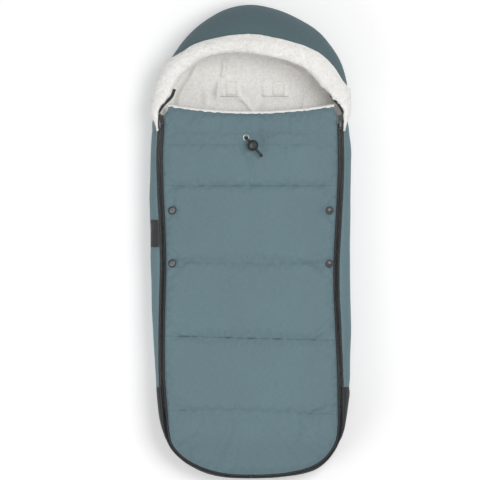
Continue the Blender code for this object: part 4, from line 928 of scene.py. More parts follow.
HINGES = {
    "cover_upper": (("front_lower", "front_flap"), {"start": (0, -0.004, 0.1), "end": (0, 0.024, 0.1)}),
    "cover_lower": (("shell", "front_lower"), {"start": (0, -0.350, 0.1), "end": (0, -0.322, 0.1)}),
}


def enter(
    piece: Piece, finish: Recipe, carrier: str, nodes: Sequence[str] = ()
) -> Piece:
    """Dress a piece, hide the nodes that it replaces, and hang it on its body or bake its place in.

    Args:
        piece: the piece.
        finish: its material.
        carrier: the body that it rides on, or a half of the cover, for which its place is only baked in.
        nodes: the nodes that it replaces.

    Returns:
        The same piece.
    """
    if nodes:
        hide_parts(*nodes)
    finish.dress(piece)
    if carrier in HINGES:
        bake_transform(piece)
    else:
        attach(piece, carrier)
    return piece


def both_sides(right: Array) -> Array:
    """A right-hand grid whose first row lies on the axis, with its mirror image before it."""
    return np.concatenate((right[:0:-1] * (-1, 1, 1), right))


def spread(start: float, end: float, pitch: float) -> Array:
    """Even places from start to end, about a pitch apart."""
    return np.linspace(start, end, max(2, round(abs(end - start) / pitch) + 1))


def hood_run(pitch: float) -> Array:
    """Distances round the hood from its left end to its right end, a pitch apart."""
    run = spread(0, PLAN.outline.at_y(PLAN.hood_start + GAP), pitch)
    return np.concatenate((-run[:0:-1], run))


def raise_along_normals(grid: Array, amount: Array, centre: Sequence[float] = (0, 0, 0.03)) -> Array:
    """Move each point of a grid outwards along its normal."""
    return grid + grid_normals(grid, centre) * amount[..., None]


@dataclass
class Walls:
    """The soft tub: side walls, hood and black toe gusset, each a padded cloth with fleece inside.

    Attributes:
        finishes: the materials.
        pitch: distance between stations along the walls.
        rows: points from the foot up to the rim.
        slack: how far the cloth wanders from its cut, in metres.
        gusset_y: where the side walls end and the black gusset begins.
        end_gaps: how far a side wall's two ends are moved, to stay clear of hood and gusset.
    """

    finishes: Finishes
    end_gaps: tuple[float, float] = (-0.0008, 0.0004)
    pitch: float = 0.0036
    rows: int = 34
    slack: float = 0.0016
    gusset_y: float = -0.290

    def _turns(self) -> Array:
        """Places up the wall, closer together near the foot and the rim."""
        share = np.linspace(0, 1, self.rows)
        return 2 * (share - 0.06 * np.sin(4 * HALF_TURN * share) / 2)

    def _panel(self, name: str, wall: Triple, seed: int, mirror: bool, layer: Layer, slack: float) -> Piece:
        """Make one padded panel.

        The face wanders along its normal by lattice unevenness, most half way up, with short
        puckers across the rim's seam that fade out over two centimetres.

        Args:
            name: the piece's name.
            wall: outline points, inward directions and rim points.
            seed: number of its wrinkles.
            mirror: true where the first row lies on the axis and the other half mirrors this one.
            layer: depths of its two faces.
            slack: how far it wanders.

        Returns:
            The panel, a closed pad.
        """
        turn = self._turns()
        faces = [PLAN.wall_grid(wall, depth, turn) for depth in (layer.shallow, layer.deep)]
        if mirror:
            faces = [both_sides(face) for face in faces]
        top, bottom = faces
        uv = arc_lengths(top)
        middle = np.sin(HALF_TURN * np.clip(turn / 2, 0, 1))[None] ** 0.7
        broad = Rumple(0.055, seed).at(uv[..., 1] * 0.8, uv[..., 0] * 0.6)
        seam = Rumple(0.011, seed + 7, 1).at(uv[..., 0], uv[..., 1] * 0.25)
        near_rim = ease(turn, 1.25, 0.5)[None] * (1 - ease(turn, 1.9, 0.1))[None]
        amount = slack * (broad * middle + 0.45 * seam * near_rim)
        ends = np.minimum(np.arange(len(top)), np.arange(len(top))[::-1])[:, None] / 4
        top = raise_along_normals(top, amount * ease(ends, 0, 1))
        return pad_piece(name, LAY.shift(top), LAY.shift(bottom), uv)

    def _line_rim(self, cloth: Piece) -> None:
        """Give the cloth's cut edge at the rim, which is its last column's wall, the fleece's finish."""
        columns = len(self._turns())
        faces = cloth.data.polygons
        steps = (len(faces) - 2 * (columns - 1)) // (2 * columns)
        first = 2 * steps * (columns - 1) + columns - 1
        number = np.zeros(len(faces), np.int32)
        number[first:first + steps] = 1
        cloth.data.materials.append(self.finishes.fleece.material)
        faces.foreach_set("material_index", number)

    def _layers(
        self, word: str, wall: Triple, seed: int, finish: Recipe,
        mirror: bool = False, loose: float = 1,
    ) -> list[Piece]:
        """Cloth and fleece of one stretch of wall, dressed.

        Args:
            word: the stretch's name.
            wall: outline points, inward directions and rim points.
            seed: number of the cloth's wrinkles; the fleece's lies 10 higher.
            finish: of the cloth.
            mirror: true where only one half is given.
            loose: share of the usual slack.

        Returns:
            Both layers.
        """
        cloth = self._panel(f"{word}_cloth", wall, seed, mirror, PLAN.outer, self.slack * loose)
        fleece = self._panel(f"{word}_fleece", wall, seed + 10, mirror, PLAN.lining, 0.0)
        enter(cloth, finish, "shell", (f"{word}_outer", f"{word}_padding"))
        enter(fleece, self.finishes.fleece, "shell", (f"{word}_lining",))
        return [cloth, fleece]

    def side(self, side: Side) -> list[Piece]:
        """The wall from the hood's start to the gusset."""
        run = spread(PLAN.zip_line.at_y(PLAN.hood_start), PLAN.zip_line.at_y(self.gusset_y), self.pitch)
        wall = PLAN.zip_wall(run * side.value)
        for rows in (wall[0], wall[2]):
            rows[[0, -1], 1] += np.array(self.end_gaps)
        return self._layers(f"side_{side.word}", wall, 11 + side.value, self.finishes.shell)

    def hood(self) -> list[Piece]:
        """The hood round the head end."""
        wall = PLAN.hood_wall(hood_run(self.pitch))
        return self._layers("hood", wall, 31, self.finishes.hood, loose=1.1)

    def toe(self) -> list[Piece]:
        """The black gusset round the feet."""
        run = spread(PLAN.zip_line.length, PLAN.zip_line.at_y(self.gusset_y), self.pitch)
        return self._layers("toe", PLAN.zip_wall(run), 51, self.finishes.gusset, mirror=True)

    def build(self) -> list[Piece]:
        """Make and dress all walls; the black gusset alone shows its own colour at the rim."""
        made = [*self.side(Side.LEFT), *self.side(Side.RIGHT), *self.hood()]
        for cloth in made[::2]:
            self._line_rim(cloth)
        return made + self.toe()


@dataclass(frozen=True)
class Slit:
    """One harness slit, as the corners of its opening."""

    low_x: float
    low_y: float
    high_x: float
    high_y: float


@dataclass
class BackPanel:
    """The panel on the seat: cloth with wadding below, fleece with soft folds above, five slits through.

    Attributes:
        finishes: the materials.
        spokes: points from the middle line out to the edge, of the cloth and of the fleece.
        pitches: distance between points along the edge, of the cloth and of the fleece.
        slits: the harness openings.
        folds: soft folds of the fleece, each as (start, end, height, half width).
    """

    finishes: Finishes
    spokes: tuple[int, int] = (34, 72)
    pitches: tuple[float, float] = (0.0052, 0.0036)
    slits: tuple[Slit, ...] = (
        Slit(-0.063, 0.298, -0.021, 0.310), Slit(0.023, 0.298, 0.075, 0.310),
        Slit(-0.106, -0.01, -0.094, 0.05), Slit(0.094, -0.01, 0.106, 0.05),
        Slit(-0.025, -0.09, 0.025, -0.078),
    )
    folds: tuple[tuple, ...] = (
        ((-0.054, 0.366), (-0.0665, 0.292), 0.0085, 0.0050), ((0.066, 0.356), (0.112, 0.330), 0.005, 0.0055),
        ((-0.112, 0.354), (-0.148, 0.272), 0.0085, 0.0075), ((-0.024, 0.290), (0.004, 0.258), 0.005, 0.0045),
        ((0.034, 0.284), (0.006, 0.258), 0.0040, 0.0050), ((0.000, 0.372), (0.010, 0.330), 0.003, 0.0070),
        ((0.116, 0.336), (0.108, 0.266), 0.0045, 0.0050), ((-0.090, 0.300), (-0.098, 0.262), 0.003, 0.0060),
    )

    def _edge(self, pitch: float) -> Array:
        """Points round the panel, just inside the walls' feet, from the head end down the right side."""
        hood_end = PLAN.outline.at_y(PLAN.hood_start)
        hood = PLAN.outline.at(spread(0, hood_end, pitch)[:-1])
        zips = spread(PLAN.zip_line.at_y(PLAN.hood_start), PLAN.zip_line.length, pitch)
        wall = PLAN.zip_wall(zips)
        edge, inward = (np.concatenate(rows) for rows in ((hood[0], wall[0]), (hood[1], wall[1])))
        inset, _ = PLAN.foot_size(edge[:, 1])
        right = edge + inward * (inset + GAP)[:, None]
        right[[0, -1], 0] = 0
        return np.concatenate((right, right[-2:0:-1] * (-1, 1)))

    def _plate(self, spokes: int, pitch: float) -> Array:
        """Spokes from the middle line to the edge: rows are the spokes' equal shares, columns go round."""
        edge = self._edge(pitch)
        spine = np.stack((np.zeros(len(edge)), np.clip(edge[:, 1], -0.30, 0.30)), axis=1)
        share = np.linspace(0, 1, spokes)[:, None, None]
        return LAY.shift(spine + (edge - spine) * share)

    def _closed(self, name: str, plan: Array, top: Array, bottom: Array) -> Piece:
        """Close an upper and a lower face over the same spokes, weld the middle line and cut the slits."""
        rows, columns = plan.shape[:2]
        upper = np.concatenate((plan, top[..., None]), axis=2)
        lower = np.concatenate((plan, bottom[..., None]), axis=2)[::-1]
        points = np.concatenate((upper, lower))
        faces = grid_faces(rows * 2, columns, loop=True)
        piece = mesh_piece(name, points, faces, points[..., :2])
        merge_doubles(piece)
        low_z, high_z = -10 * MM, 30 * MM
        corners = [((s.low_x, s.low_y, low_z), (s.high_x, s.high_y, high_z)) for s in self.slits]
        cut_away(piece, [box_piece(f"slit_{k}", *pair) for k, pair in enumerate(corners)])
        return piece

    def _folds(self, x: Array, y: Array) -> Array:
        """Height of the soft folds at the head end: ridges along bent lines, and lattice unevenness."""
        total = 0.0016 * (Rumple(0.03, 5).at(x, y) + 0.6)
        for (x0, y0), (x1, y1), height, width in self.folds:
            run = np.array((x1 - x0, y1 - y0))
            long = float(np.hypot(*run))
            along = ((x - x0) * run[0] + (y - y0) * run[1]) / long
            off = ((x - x0) * run[1] - (y - y0) * run[0]) / long + 0.0035 * np.sin(along * 70)
            ends = ease(along, -0.012, 0.022) * (1 - ease(along, long - 0.010, 0.022))
            total = total + height * hump(off, 0, width) * ends
        clear = np.ones(np.shape(x))
        for slit in self.slits:
            off_x = np.maximum(np.maximum(slit.low_x - x, x - slit.high_x), 0)
            off_y = np.maximum(np.maximum(slit.low_y - y, y - slit.high_y - 0.018), 0)
            clear = clear * ease(np.hypot(off_x, off_y), 0, 0.004)
        return total * clear

    def build(self) -> list[Piece]:
        """Make and dress both layers."""
        plans = [self._plate(spokes, pitch) for spokes, pitch in zip(self.spokes, self.pitches)]
        inside = [np.linspace(1, 0, len(plan))[:, None] * np.ones(plan.shape[1]) for plan in plans]
        level = np.ones(plans[0].shape[:2])
        edge_round = 0.0022 * (1 - dome(inside[0] / 0.06))
        cloth = self._closed("back_cloth", plans[0], PLAN.outer.deep * level, edge_round)
        lift = self._folds(plans[1][..., 0], plans[1][..., 1]) * ease(inside[1], 0, 0.12)
        under = np.full(lift.shape, PLAN.lining.shallow)
        fleece = self._closed("back_fleece", plans[1], PLAN.lining.deep + lift, under)
        enter(cloth, self.finishes.shell, "shell", ("back_outer", "back_padding"))
        enter(fleece, self.finishes.fleece, "shell", ("back_lining",))
        return [cloth, fleece]


@dataclass
class Cuff:
    """The sherpa cuff, folded outwards over the hood's edge, thinning out to both ends.

    Attributes:
        finishes: the materials.
        width: how far it lies over the hood, and width_lean how much more on the right than in the middle.
        plump: thickness of its crown.
        tape_shown: how far it draws back over the left-hand zip's end.
        roll: how far it bulges into the mouth.
        drop: how far it hangs inside the mouth.
        pitch: distance between its cross-sections.
        tufts: how many curls are set on it.
        tuft: size of a curl.
        lump: height of the pile's own unevenness.
    """

    finishes: Finishes
    width: float = 0.0265
    width_lean: float = 0.0025
    tape_shown: float = 0.0016
    plump: float = 0.0095
    roll: float = 0.0085
    drop: float = 0.013
    pitch: float = 0.0021
    tufts: int = 6000
    tuft: float = 0.0012
    lump: float = 0.0009

    def _sections(self) -> tuple[Array, Array]:
        """Closed cross-sections: out over the wall, a rounded crown, the roll into the mouth, and back.

        The crown's lift is a stretch of a sine over the width, and the roll most of a half ellipse about
        the rim.
        """
        signed = hood_run(self.pitch)
        edge, inward, rim = PLAN.hood_wall(signed)
        inset = np.sum((rim[:, :2] - edge) * inward, axis=1)
        wanted = self.width + self.width_lean * np.tanh(rim[:, 0] / 0.07)
        y, left = edge[:, 1], signed < 0
        wanted = wanted + 0.012 * ease(-y, -0.330, 0.06) + 0.022 * left * ease(-y, -0.392, 0.07)
        back = self.tape_shown * left * ease(y, 0.262, 0.02) * (1 - ease(y, 0.298, 0.02))
        width = np.minimum(wanted, inset * (0.2 + 0.8 * ease(y, PLAN.hood_start, 0.034)))
        start, stop = (np.arccos(np.clip(gap / inset, 0, 1)) / (HALF_TURN / 2) for gap in (width, back))
        grow = ease(y, PLAN.hood_start, 0.048)
        share = np.linspace(0, 1, 26)
        turn = 1 + start[:, None] + (stop - start)[:, None] * share
        wall = edge, inward, rim
        flat = self._wall_rows(wall, turn, np.full(turn.shape, 0.0006))
        crown = np.sin(HALF_TURN * (0.06 + 0.68 * share))
        edge_wave = 0.0012 * Rumple(0.02, 71).at(np.abs(signed), np.sign(signed) * 0.3)
        lift = 0.0012 + (self.plump * (0.3 + 0.7 * grow))[:, None] * crown + edge_wave[:, None] * (1 - share)
        over = self._wall_rows(wall, turn, lift)
        roll = (self.roll * ease(y, 0.318, 0.035) + 0.0012)[:, None]
        angle = np.linspace(0.5, -0.35, 15)[None, 1:] * HALF_TURN
        top = over[:, -1, 2]
        low = rim[:, 2] - self.drop * (0.25 + 0.75 * grow)
        centre, half = (top + low) / 2, (top - low) / 2
        into = roll * np.cos(angle) - back[:, None]
        plan = rim[:, None, :2] + inward[:, None] * into[..., None]
        inner = np.concatenate((plan, (centre[:, None] + half[:, None] * np.sin(angle))[..., None]), axis=2)
        rings = np.concatenate((over, inner, flat[:, ::-1]), axis=1)
        return rings, signed

    def _wall_rows(self, wall: Triple, turn: Array, lift: Array) -> Array:
        """Points over the wall's upper curve at their own places and lifts."""
        edge, inward, rim = wall
        _, shoulder = PLAN.foot_size(edge[:, 1])
        angle = (turn - 1) * HALF_TURN / 2
        outer = edge[:, None] - inward[:, None] * lift[..., None]
        plan = outer + (rim[:, None, :2] - outer) * (1 - np.cos(angle))[..., None]
        z = shoulder[:, None] + (rim[:, 2:] + lift - shoulder[:, None]) * np.sin(angle)
        return np.concatenate((plan, z[..., None]), axis=2)

    def _curls(self, grid: Array, normals: Array, weight: Array) -> tuple[Array, Array]:
        """Small six-sided curls, seeded over the pile, each a squashed double pyramid bent to one side."""
        dice = np.random.RandomState(9)
        rows, columns = grid.shape[:2]
        chance = (weight / weight.sum()).ravel()
        pick = dice.choice(rows * columns, self.tufts, p=chance)
        base, up = grid.reshape(-1, 3)[pick], normals.reshape(-1, 3)[pick]
        base = base + dice.uniform(-0.001, 0.001, base.shape)
        side = np.cross(up, dice.normal(size=up.shape))
        side /= np.linalg.norm(side, axis=1, keepdims=True)
        other = np.cross(up, side)
        size = self.tuft * dice.uniform(0.6, 1.25, (self.tufts, 1, 1))
        k = np.arange(6)
        around = k / 6 * FULL_TURN
        ring = np.stack((np.cos(around) * 1.25, np.sin(around) * 0.7, np.zeros(6)), axis=1)
        upper = ring * 0.62 + (0.25, 0, 0.42)
        shape = np.concatenate(([(0, 0, -0.35)], ring, upper, [(0.45, 0, 0.55)]))
        points = base[:, None] + (shape[None] @ np.stack((side, other, up), axis=1)) * size
        after = (k + 1) % 6
        low = np.stack((np.zeros(6, int), 1 + after, 1 + k), axis=1)
        belt = np.stack((1 + k, 1 + after, 7 + after, 7 + k), axis=1)
        high = np.stack((7 + k, 7 + after, np.full(6, 13)), axis=1)
        triangles = np.concatenate((low, belt[:, [0, 1, 2]], belt[:, [0, 2, 3]], high))
        faces = triangles[None] + (np.arange(self.tufts) * len(shape))[:, None, None]
        return points.reshape(-1, 3), faces.reshape(-1, 3)

    def build(self) -> list[Piece]:
        """Make the pile and its curls, weld the ends shut, and dress them."""
        rings, signed = self._sections()
        normals = self._ring_normals(rings)
        count = rings.shape[1]
        shown = ease(np.arange(count), 1, 4) * (1 - ease(np.arange(count), count - 28, 3))
        u, v = np.abs(signed)[:, None] + (signed < 0)[:, None] * 1.3, np.arange(count)[None] * 0.0016
        lumps = Rumple(0.0062, 73, 3).at(u, v) + 0.7 * Rumple(0.016, 74, 1).at(u, v)
        rings = LAY.shift(rings + normals * (lumps * self.lump * shown)[..., None])
        pile = tube_piece("hood_cuff_pile", rings, sharp=180)
        weight = np.repeat(shown[None], len(rings), axis=0) * ease(rings[..., 1], 0.262, 0.02)
        points, faces = self._curls(rings, normals, weight + 1e-9)
        mesh = bpy.data.meshes.new("hood_cuff_curls")
        mesh.from_pydata(points.astype(np.float32), [], faces)
        mesh.shade_smooth()
        curls = linked("hood_cuff_curls", mesh)
        enter(pile, self.finishes.sherpa, "shell", ("hood_cuff",))
        enter(curls, self.finishes.sherpa, "shell")
        return [pile, curls]

    @staticmethod
    def _ring_normals(rings: Array) -> Array:
        """Outward normals of closed rings, as the cross product of the way round and the way along."""
        around = np.roll(rings, -1, axis=1) - np.roll(rings, 1, axis=1)
        along = np.gradient(rings, axis=0)
        normal = unit(np.cross(around, along))
        middle = rings.mean(axis=1, keepdims=True)
        return normal if np.sum(normal * (rings - middle)) > 0 else -normal


def refined(grid: Array, times: int) -> Array:
    """A grid with more points in each cell, on Catmull-Rom curves both ways, through the old points."""
    for axis in (0, 1):
        line = np.moveaxis(grid, axis, 0)
        padded = np.concatenate((2 * line[:1] - line[1:2], line, 2 * line[-1:] - line[-2:-1]))
        a, b, c, d = padded[:-3], padded[1:-2], padded[2:-1], padded[3:]
        steps = []
        for k in range(times):
            t = k / times
            bend = (2 * a - 5 * b + 4 * c - d) * t * t + (3 * b - a - 3 * c + d) * t**3
            steps.append(b + ((c - a) * t + bend) / 2)
        fine = np.stack(steps, axis=1).reshape(-1, *line.shape[1:])
        grid = np.moveaxis(np.concatenate((fine, line[-1:])), 0, axis)
    return grid


def settle(
    top: Array, bottom: Array, held: Array, pressure: float, slack: float, cap: float, steps: int = 20
) -> Array:
    """Let a closed pad puff up as cloth under pressure, and give how far its upper points move.

    Args:
        top: the upper face.
        bottom: the lower face, which stays.
        held: true for the upper points that are sewn down.
        pressure: pressure inside.
        slack: share by which the cloth is wider than its pattern, so that it wrinkles.
        cap: furthest move in metres.
        steps: frames to run.

    Returns:
        The move of each upper point.
    """
    pad = pad_piece("settling_pad", top, bottom)
    count = top.shape[0] * top.shape[1]
    kept = np.concatenate((np.flatnonzero(held.ravel()), np.arange(count, 2 * count)))
    group = pad.vertex_groups.new(name="held")
    group.add(kept.tolist(), 1.0, "REPLACE")
    modifier = pad.modifiers.new("settle", "CLOTH")
    cloth = modifier.settings
    cloth.quality, cloth.mass, cloth.air_damping = 5, 0.3, 2.0
    cloth.tension_stiffness, cloth.compression_stiffness = 10, 10
    cloth.shear_stiffness, cloth.bending_stiffness = 4, 0.15
    cloth.tension_damping, cloth.compression_damping = 12, 12
    cloth.use_pressure, cloth.uniform_pressure_force = True, pressure
    cloth.shrink_min, cloth.vertex_group_mass = -slack, "held"
    cloth.effector_weights.gravity = 0
    modifier.collision_settings.use_collision = False
    scene = bpy.context.scene
    for number in range(1, steps + 1):
        scene.frame_set(number)
    seen = pad.evaluated_get(bpy.context.evaluated_depsgraph_get()).data
    places = np.empty(len(seen.vertices) * 3, np.float32)
    seen.vertices.foreach_get("co", places)
    move = places.reshape(-1, 3)[:count].reshape(top.shape).astype(float) - top
    scene.frame_set(1)
    mesh = pad.data
    bpy.data.objects.remove(pad, do_unlink=True)
    bpy.data.meshes.remove(mesh)
    far = np.linalg.norm(move, axis=2, keepdims=True)
    return move * np.minimum(1, cap / np.maximum(far, 1e-9))


@dataclass(frozen=True)
class SewnLine:
    """One line of stitches across the cover.

    Attributes:
        y: where it crosses the middle.
        slope: how far it rises towards the right, in metres a metre.
        depth: how far it pulls the cloth down.
        width: how wide the pull is.
    """

    y: float
    slope: float
    depth: float
    width: float

    def off(self, x: Array, y: Array) -> Array:
        """Distance of places from the line, up the cover."""
        return y - self.y - self.slope * x


QUILTS = (
    SewnLine(0.1130, 0.0, 0.0022, 0.0070), SewnLine(-0.0400, -0.0139, 0.0022, 0.0070),
    SewnLine(-0.1920, -0.0266, 0.0024, 0.0070), SewnLine(-0.3400, -0.0260, 0.0024, 0.0070),
)
CREASE = (0.0011, 0.0012)
CHANNELS = (SewnLine(0.2200, 0.0, 0.0010, 0.0034), SewnLine(0.1970, 0.0, 0.0010, 0.0034))
SNAPS = ((0.157, 0.063005), (0.157, -0.042995))
LOCK_SPOT = (-0.002, 0.199)


@dataclass
class Cover:
    """The quilted front cover: cloth and wadding above, fleece beneath, in an upper and a lower half.

    Attributes:
        finishes: the materials.
        half_width: from the middle to the edge beside the zip.
        top_y: where its top edge crosses the middle.
        top_rise: how much further up the top edge's ends lie.
        corner_cut: how far the top corners are drawn in.
        crown: how high the middle stands over the edge.
        loft: how high the edge's own roll stands, and loft_width how wide it is.
        toe_corner: y at which the sides' rows end and the toe's begin.
        pitch: distance between points before the grid is refined.
        fine: how many times it is refined.
        stitch_pitch: distance between stitches.
        stitch_radii: half the thickness of the quilting's thread and of the channels'.
    """

    finishes: Finishes
    half_width: float = 0.1732
    top_y: float = 0.258
    top_rise: float = 0.014
    corner_cut: float = 0.0078
    crown: float = 0.014
    loft: float = 0.006
    loft_width: float = 0.014
    toe_corner: float = -0.398
    pitch: float = 0.0044
    fine: int = 2
    stitch_pitch: float = 0.0034
    stitch_radii: tuple[float, float] = (0.00034, 0.00040)
    join_row: int = field(init=False, default=0)

    def reach(self, y: Array) -> Array:
        """Half the cover's width at y: full, and drawn in at the top corners by an eased step."""
        return self.half_width - self.corner_cut * ease(y, self.top_y - 0.008, 0.016)

    def toe_edge(self, signed: Array) -> Array:
        """Plan points of the cover's edge beside the zip."""
        middle, across, up = PLAN.zip_frame(signed)
        return (middle + across * (PLAN.zip_half_width + GAP))[..., :2] - up[..., :2] * PLAN.zip_sink

    def plan(self) -> Array:
        """Plan points: level rows that lean with the quilting, and a patch between its four edges at the toe.

        The patch is the sum of the two ruled surfaces between opposite edges, less the flat one
        through its corners.
        """
        share = np.linspace(-1, 1, 2 * round(self.half_width / self.pitch) + 1)
        top_line = self.top_y + self.top_rise * share**2
        blocks = []
        for t in spread(0, 1, self.pitch / (self.top_y - CHANNELS[0].y))[:-1]:
            y = top_line + (CHANNELS[0].y - top_line) * t
            blocks.append(np.stack((share * self.reach(y), y), axis=1))
        bounds = [CHANNELS[0].y, PLAN.join_y, PLAN.lower_fold_y]
        slope_at, slope = (np.array(v) for v in zip(*sorted((q.y, q.slope) for q in QUILTS)))
        rows = np.concatenate((spread(*bounds[:2], self.pitch)[:-1], spread(*bounds[1:], self.pitch)))
        x = share[None] * self.reach(rows)[:, None]
        straight = np.stack((x, rows[:, None] + x * np.interp(rows, slope_at, slope)[:, None]), axis=2)
        start = straight[-1]
        blocks = np.array(blocks)
        self.join_row = len(blocks) + int(np.argmin(np.abs(rows - PLAN.join_y)))
        corner = PLAN.zip_line.at_y(self.toe_corner)
        t = spread(0, 1, self.pitch / (PLAN.lower_fold_y - self.toe_corner) * 0.62)[:, None, None]
        left = self.toe_edge(-self._run(start[0, 1], corner, t.ravel()))[:, None]
        right = self.toe_edge(self._run(start[-1, 1], corner, t.ravel()))[:, None]
        last = PLAN.zip_line.length
        end = self.toe_edge(np.where(share < 0, -1, 1) * (last + (corner - last) * np.abs(share)))
        u = (share[None, :, None] + 1) / 2
        flat = (1 - t) * ((1 - u) * start[0] + u * start[-1]) + t * ((1 - u) * end[0] + u * end[-1])
        patch = (1 - t) * start[None] + t * end[None] + (1 - u) * left + u * right - flat
        return np.concatenate((blocks, straight, patch[1:]))

    @staticmethod
    def _run(start_y: float, corner: float, share: Array) -> Array:
        """Distances along the zip from beside start_y to the corner."""
        start = float(PLAN.zip_line.at_y(start_y))
        return start + (corner - start) * share

    def edge_gap(self, x: Array, y: Array) -> Array:
        """Distance of plan points from the cover's edge, to dense points round it."""
        side_y = np.linspace(self.top_y + self.top_rise, PLAN.zip_straight_end, 400)
        right = np.stack((self.reach(side_y), side_y), axis=1)
        toe_start = float(PLAN.zip_line.at_y(PLAN.zip_straight_end))
        toe = self.toe_edge(np.linspace(toe_start, PLAN.zip_line.length, 260))
        top_x = np.linspace(0, self.half_width - self.corner_cut, 120)
        top = np.stack((top_x, self.top_y + self.top_rise * (top_x / self.half_width) ** 2), axis=1)
        edge = np.concatenate((right, toe, top))
        flat = np.stack((np.abs(np.ravel(x)), np.ravel(y)), axis=1)
        gaps = [
            np.hypot(*(part[:, None] - edge[None]).transpose(2, 0, 1)).min(axis=1)
            for part in np.array_split(flat, 12)
        ]
        return np.concatenate(gaps).reshape(np.shape(x))

    def base(self, y: Array) -> Array:
        """Height of the cover's edge."""
        lean = np.sin(PLAN.zip_tilt(y)) * PLAN.zip_half_width
        return PLAN.zip_height(np.minimum(y, PLAN.hood_start)) + lean

    def swell(self, gap: Array) -> Array:
        """Rise of the crown: 1 minus (1 minus the gap's share of the half width) to the power 2.2."""
        return self.crown * (1 - (1 - np.clip(gap / self.half_width, 0, 1)) ** 2.2)

    def top_height(self, x: Array, y: Array, gap: Array) -> Array:
        """Height of the cloth: edge, crown and roll, less bell-shaped valleys at the seams, plus wrinkles."""
        loft = self.loft * dome(gap / self.loft_width)
        fade = ease(gap, 0, 0.030)
        valley = sum(hump(q.off(x, y), 0, q.width) * q.depth for q in QUILTS + CHANNELS)
        crease = sum(hump(q.off(x, y), 0, CREASE[0]) * CREASE[1] for q in QUILTS)
        plump = self.base(y) + 0.001 + self.swell(gap) + loft
        return plump - (valley + crease) * fade + self.wrinkles(x, y, gap)

    def wrinkles(self, x: Array, y: Array, gap: Array) -> Array:
        """Small folds: puckers across sewn lines and zips, upright waves in the panels, rays at the toe."""
        away = np.min([np.abs(q.off(x, y)) for q in QUILTS], axis=0)
        pucker = Rumple(0.0125, 81).at(x, y * 0.10) * np.exp(-away / 0.014) * ease(away, 0, 0.003) * 0.0011
        side = Rumple(0.0135, 82).at(y, x * 0.10) * np.exp(-gap / 0.013) * ease(gap, 0.001, 0.006) * 0.0012
        open_cloth = ease(away, 0.004, 0.030) * ease(gap, 0.004, 0.030)
        panel = Rumple(0.046, 83, 3).at(x, y * 0.38) * open_cloth * 0.0015
        angle, far = np.arctan2(x, -(y + 0.300)), np.hypot(x, y + 0.300)
        inside = ease(gap, 0.002, 0.020)
        rays = Rumple(0.15, 84, 2).at(angle * 1.1, far * 0.6) * ease(-y, 0.350, 0.050) * inside * 0.0022
        rows = Rumple(0.010, 85).at(x * 0.35, y) * hump(y, 0.2085, 0.020) * inside * 0.0005
        snap = 0.0
        for spot_x, spot_y in SNAPS:
            for side_sign in (-1, 1):
                dx, dy = x - side_sign * spot_x, y - spot_y
                far_from = np.hypot(dx, dy)
                turn = np.arctan2(dy, dx)
                snap = snap - 0.0016 * hump(far_from, 0, 0.013)
                star = np.cos(5 * turn + side_sign + spot_y * 40)
                snap = snap + 0.0008 * star * hump(far_from, 0.019, 0.009)
        calm = ease(np.hypot(x - LOCK_SPOT[0], y - LOCK_SPOT[1]), 0.016, 0.014)
        return (pucker + side + panel + rays + rows) * calm + snap

    def held(self, x: Array, y: Array, gap: Array) -> Array:
        """True where the cloth is sewn or pinned down."""
        spots = [(s * sx, sy, 0.011) for sx, sy in SNAPS for s in (-1, 1)] + [(*LOCK_SPOT, 0.024)]
        away = np.min([np.abs(q.off(x, y)) for q in QUILTS + CHANNELS], axis=0)
        down = (gap < 0.004) | (away < 0.0024)
        for sx, sy, radius in spots:
            down = down | (np.hypot(x - sx, y - sy) < radius)
        return down

    def _puffed(self, coarse: Array, gap: Array) -> Array:
        x, y = coarse[..., 0], coarse[..., 1]
        top = np.dstack((x, y, self.top_height(x, y, gap)))
        bottom = np.dstack((x, y, self.base(y) - 0.004 + 0.8 * self.swell(gap)))
        return settle(top, bottom, self.held(x, y, gap), 2.5, 0.022, 0.0022)

    def build(self) -> list[Piece]:
        """Make both halves of cloth and fleece, split at a quilting line, and dress them."""
        coarse = self.plan()
        gap = self.edge_gap(coarse[..., 0], coarse[..., 1])
        move = self._puffed(coarse, gap)
        packed = refined(np.dstack((coarse, gap, move)), self.fine)
        x, y, gap_fine = packed[..., 0], packed[..., 1], np.maximum(packed[..., 2], 0)
        top = np.dstack((x, y, self.top_height(x, y, gap_fine))) + packed[..., 3:]
        crown = self.base(y) + 0.8 * self.swell(gap_fine)
        wadding = np.dstack((x, y, crown - 0.0037))
        low = np.dstack((coarse, self.base(coarse[..., 1]) + 0.8 * self.swell(gap)))
        fuzz = 0.0004 * Rumple(0.012, 88).at(coarse[..., 0], coarse[..., 1])
        uv = arc_lengths(top)[..., ::-1]
        split = self.join_row * self.fine
        made = []
        halves = (
            ("cover_upper", slice(0, split + 1), slice(0, self.join_row + 1), ("flap",)),
            ("cover_lower", slice(split, None), slice(self.join_row, None), ("lower", "toe")),
        )
        for word, rows, few, parts in halves:
            cloth = pad_piece(f"{word}_cloth", LAY.shift(top[rows]), LAY.shift(wadding[rows]), uv[rows])
            above = low[few] - (0, 0, 0.004)
            below = low[few] - np.dstack((np.zeros_like(fuzz), np.zeros_like(fuzz), 0.008 + fuzz))[few]
            fleece = pad_piece(f"{word}_fleece", LAY.shift(above), LAY.shift(below))
            outer = [f"front_{part}_{layer}" for part in parts for layer in ("outer", "padding")]
            enter(cloth, self.finishes.shell, word, outer)
            linings = [f"front_{part}_lining" for part in parts]
            enter(fleece, self.finishes.fleece, word, linings)
            made += [cloth, fleece]
        return made + [self._top_roll()] + self._stitches()

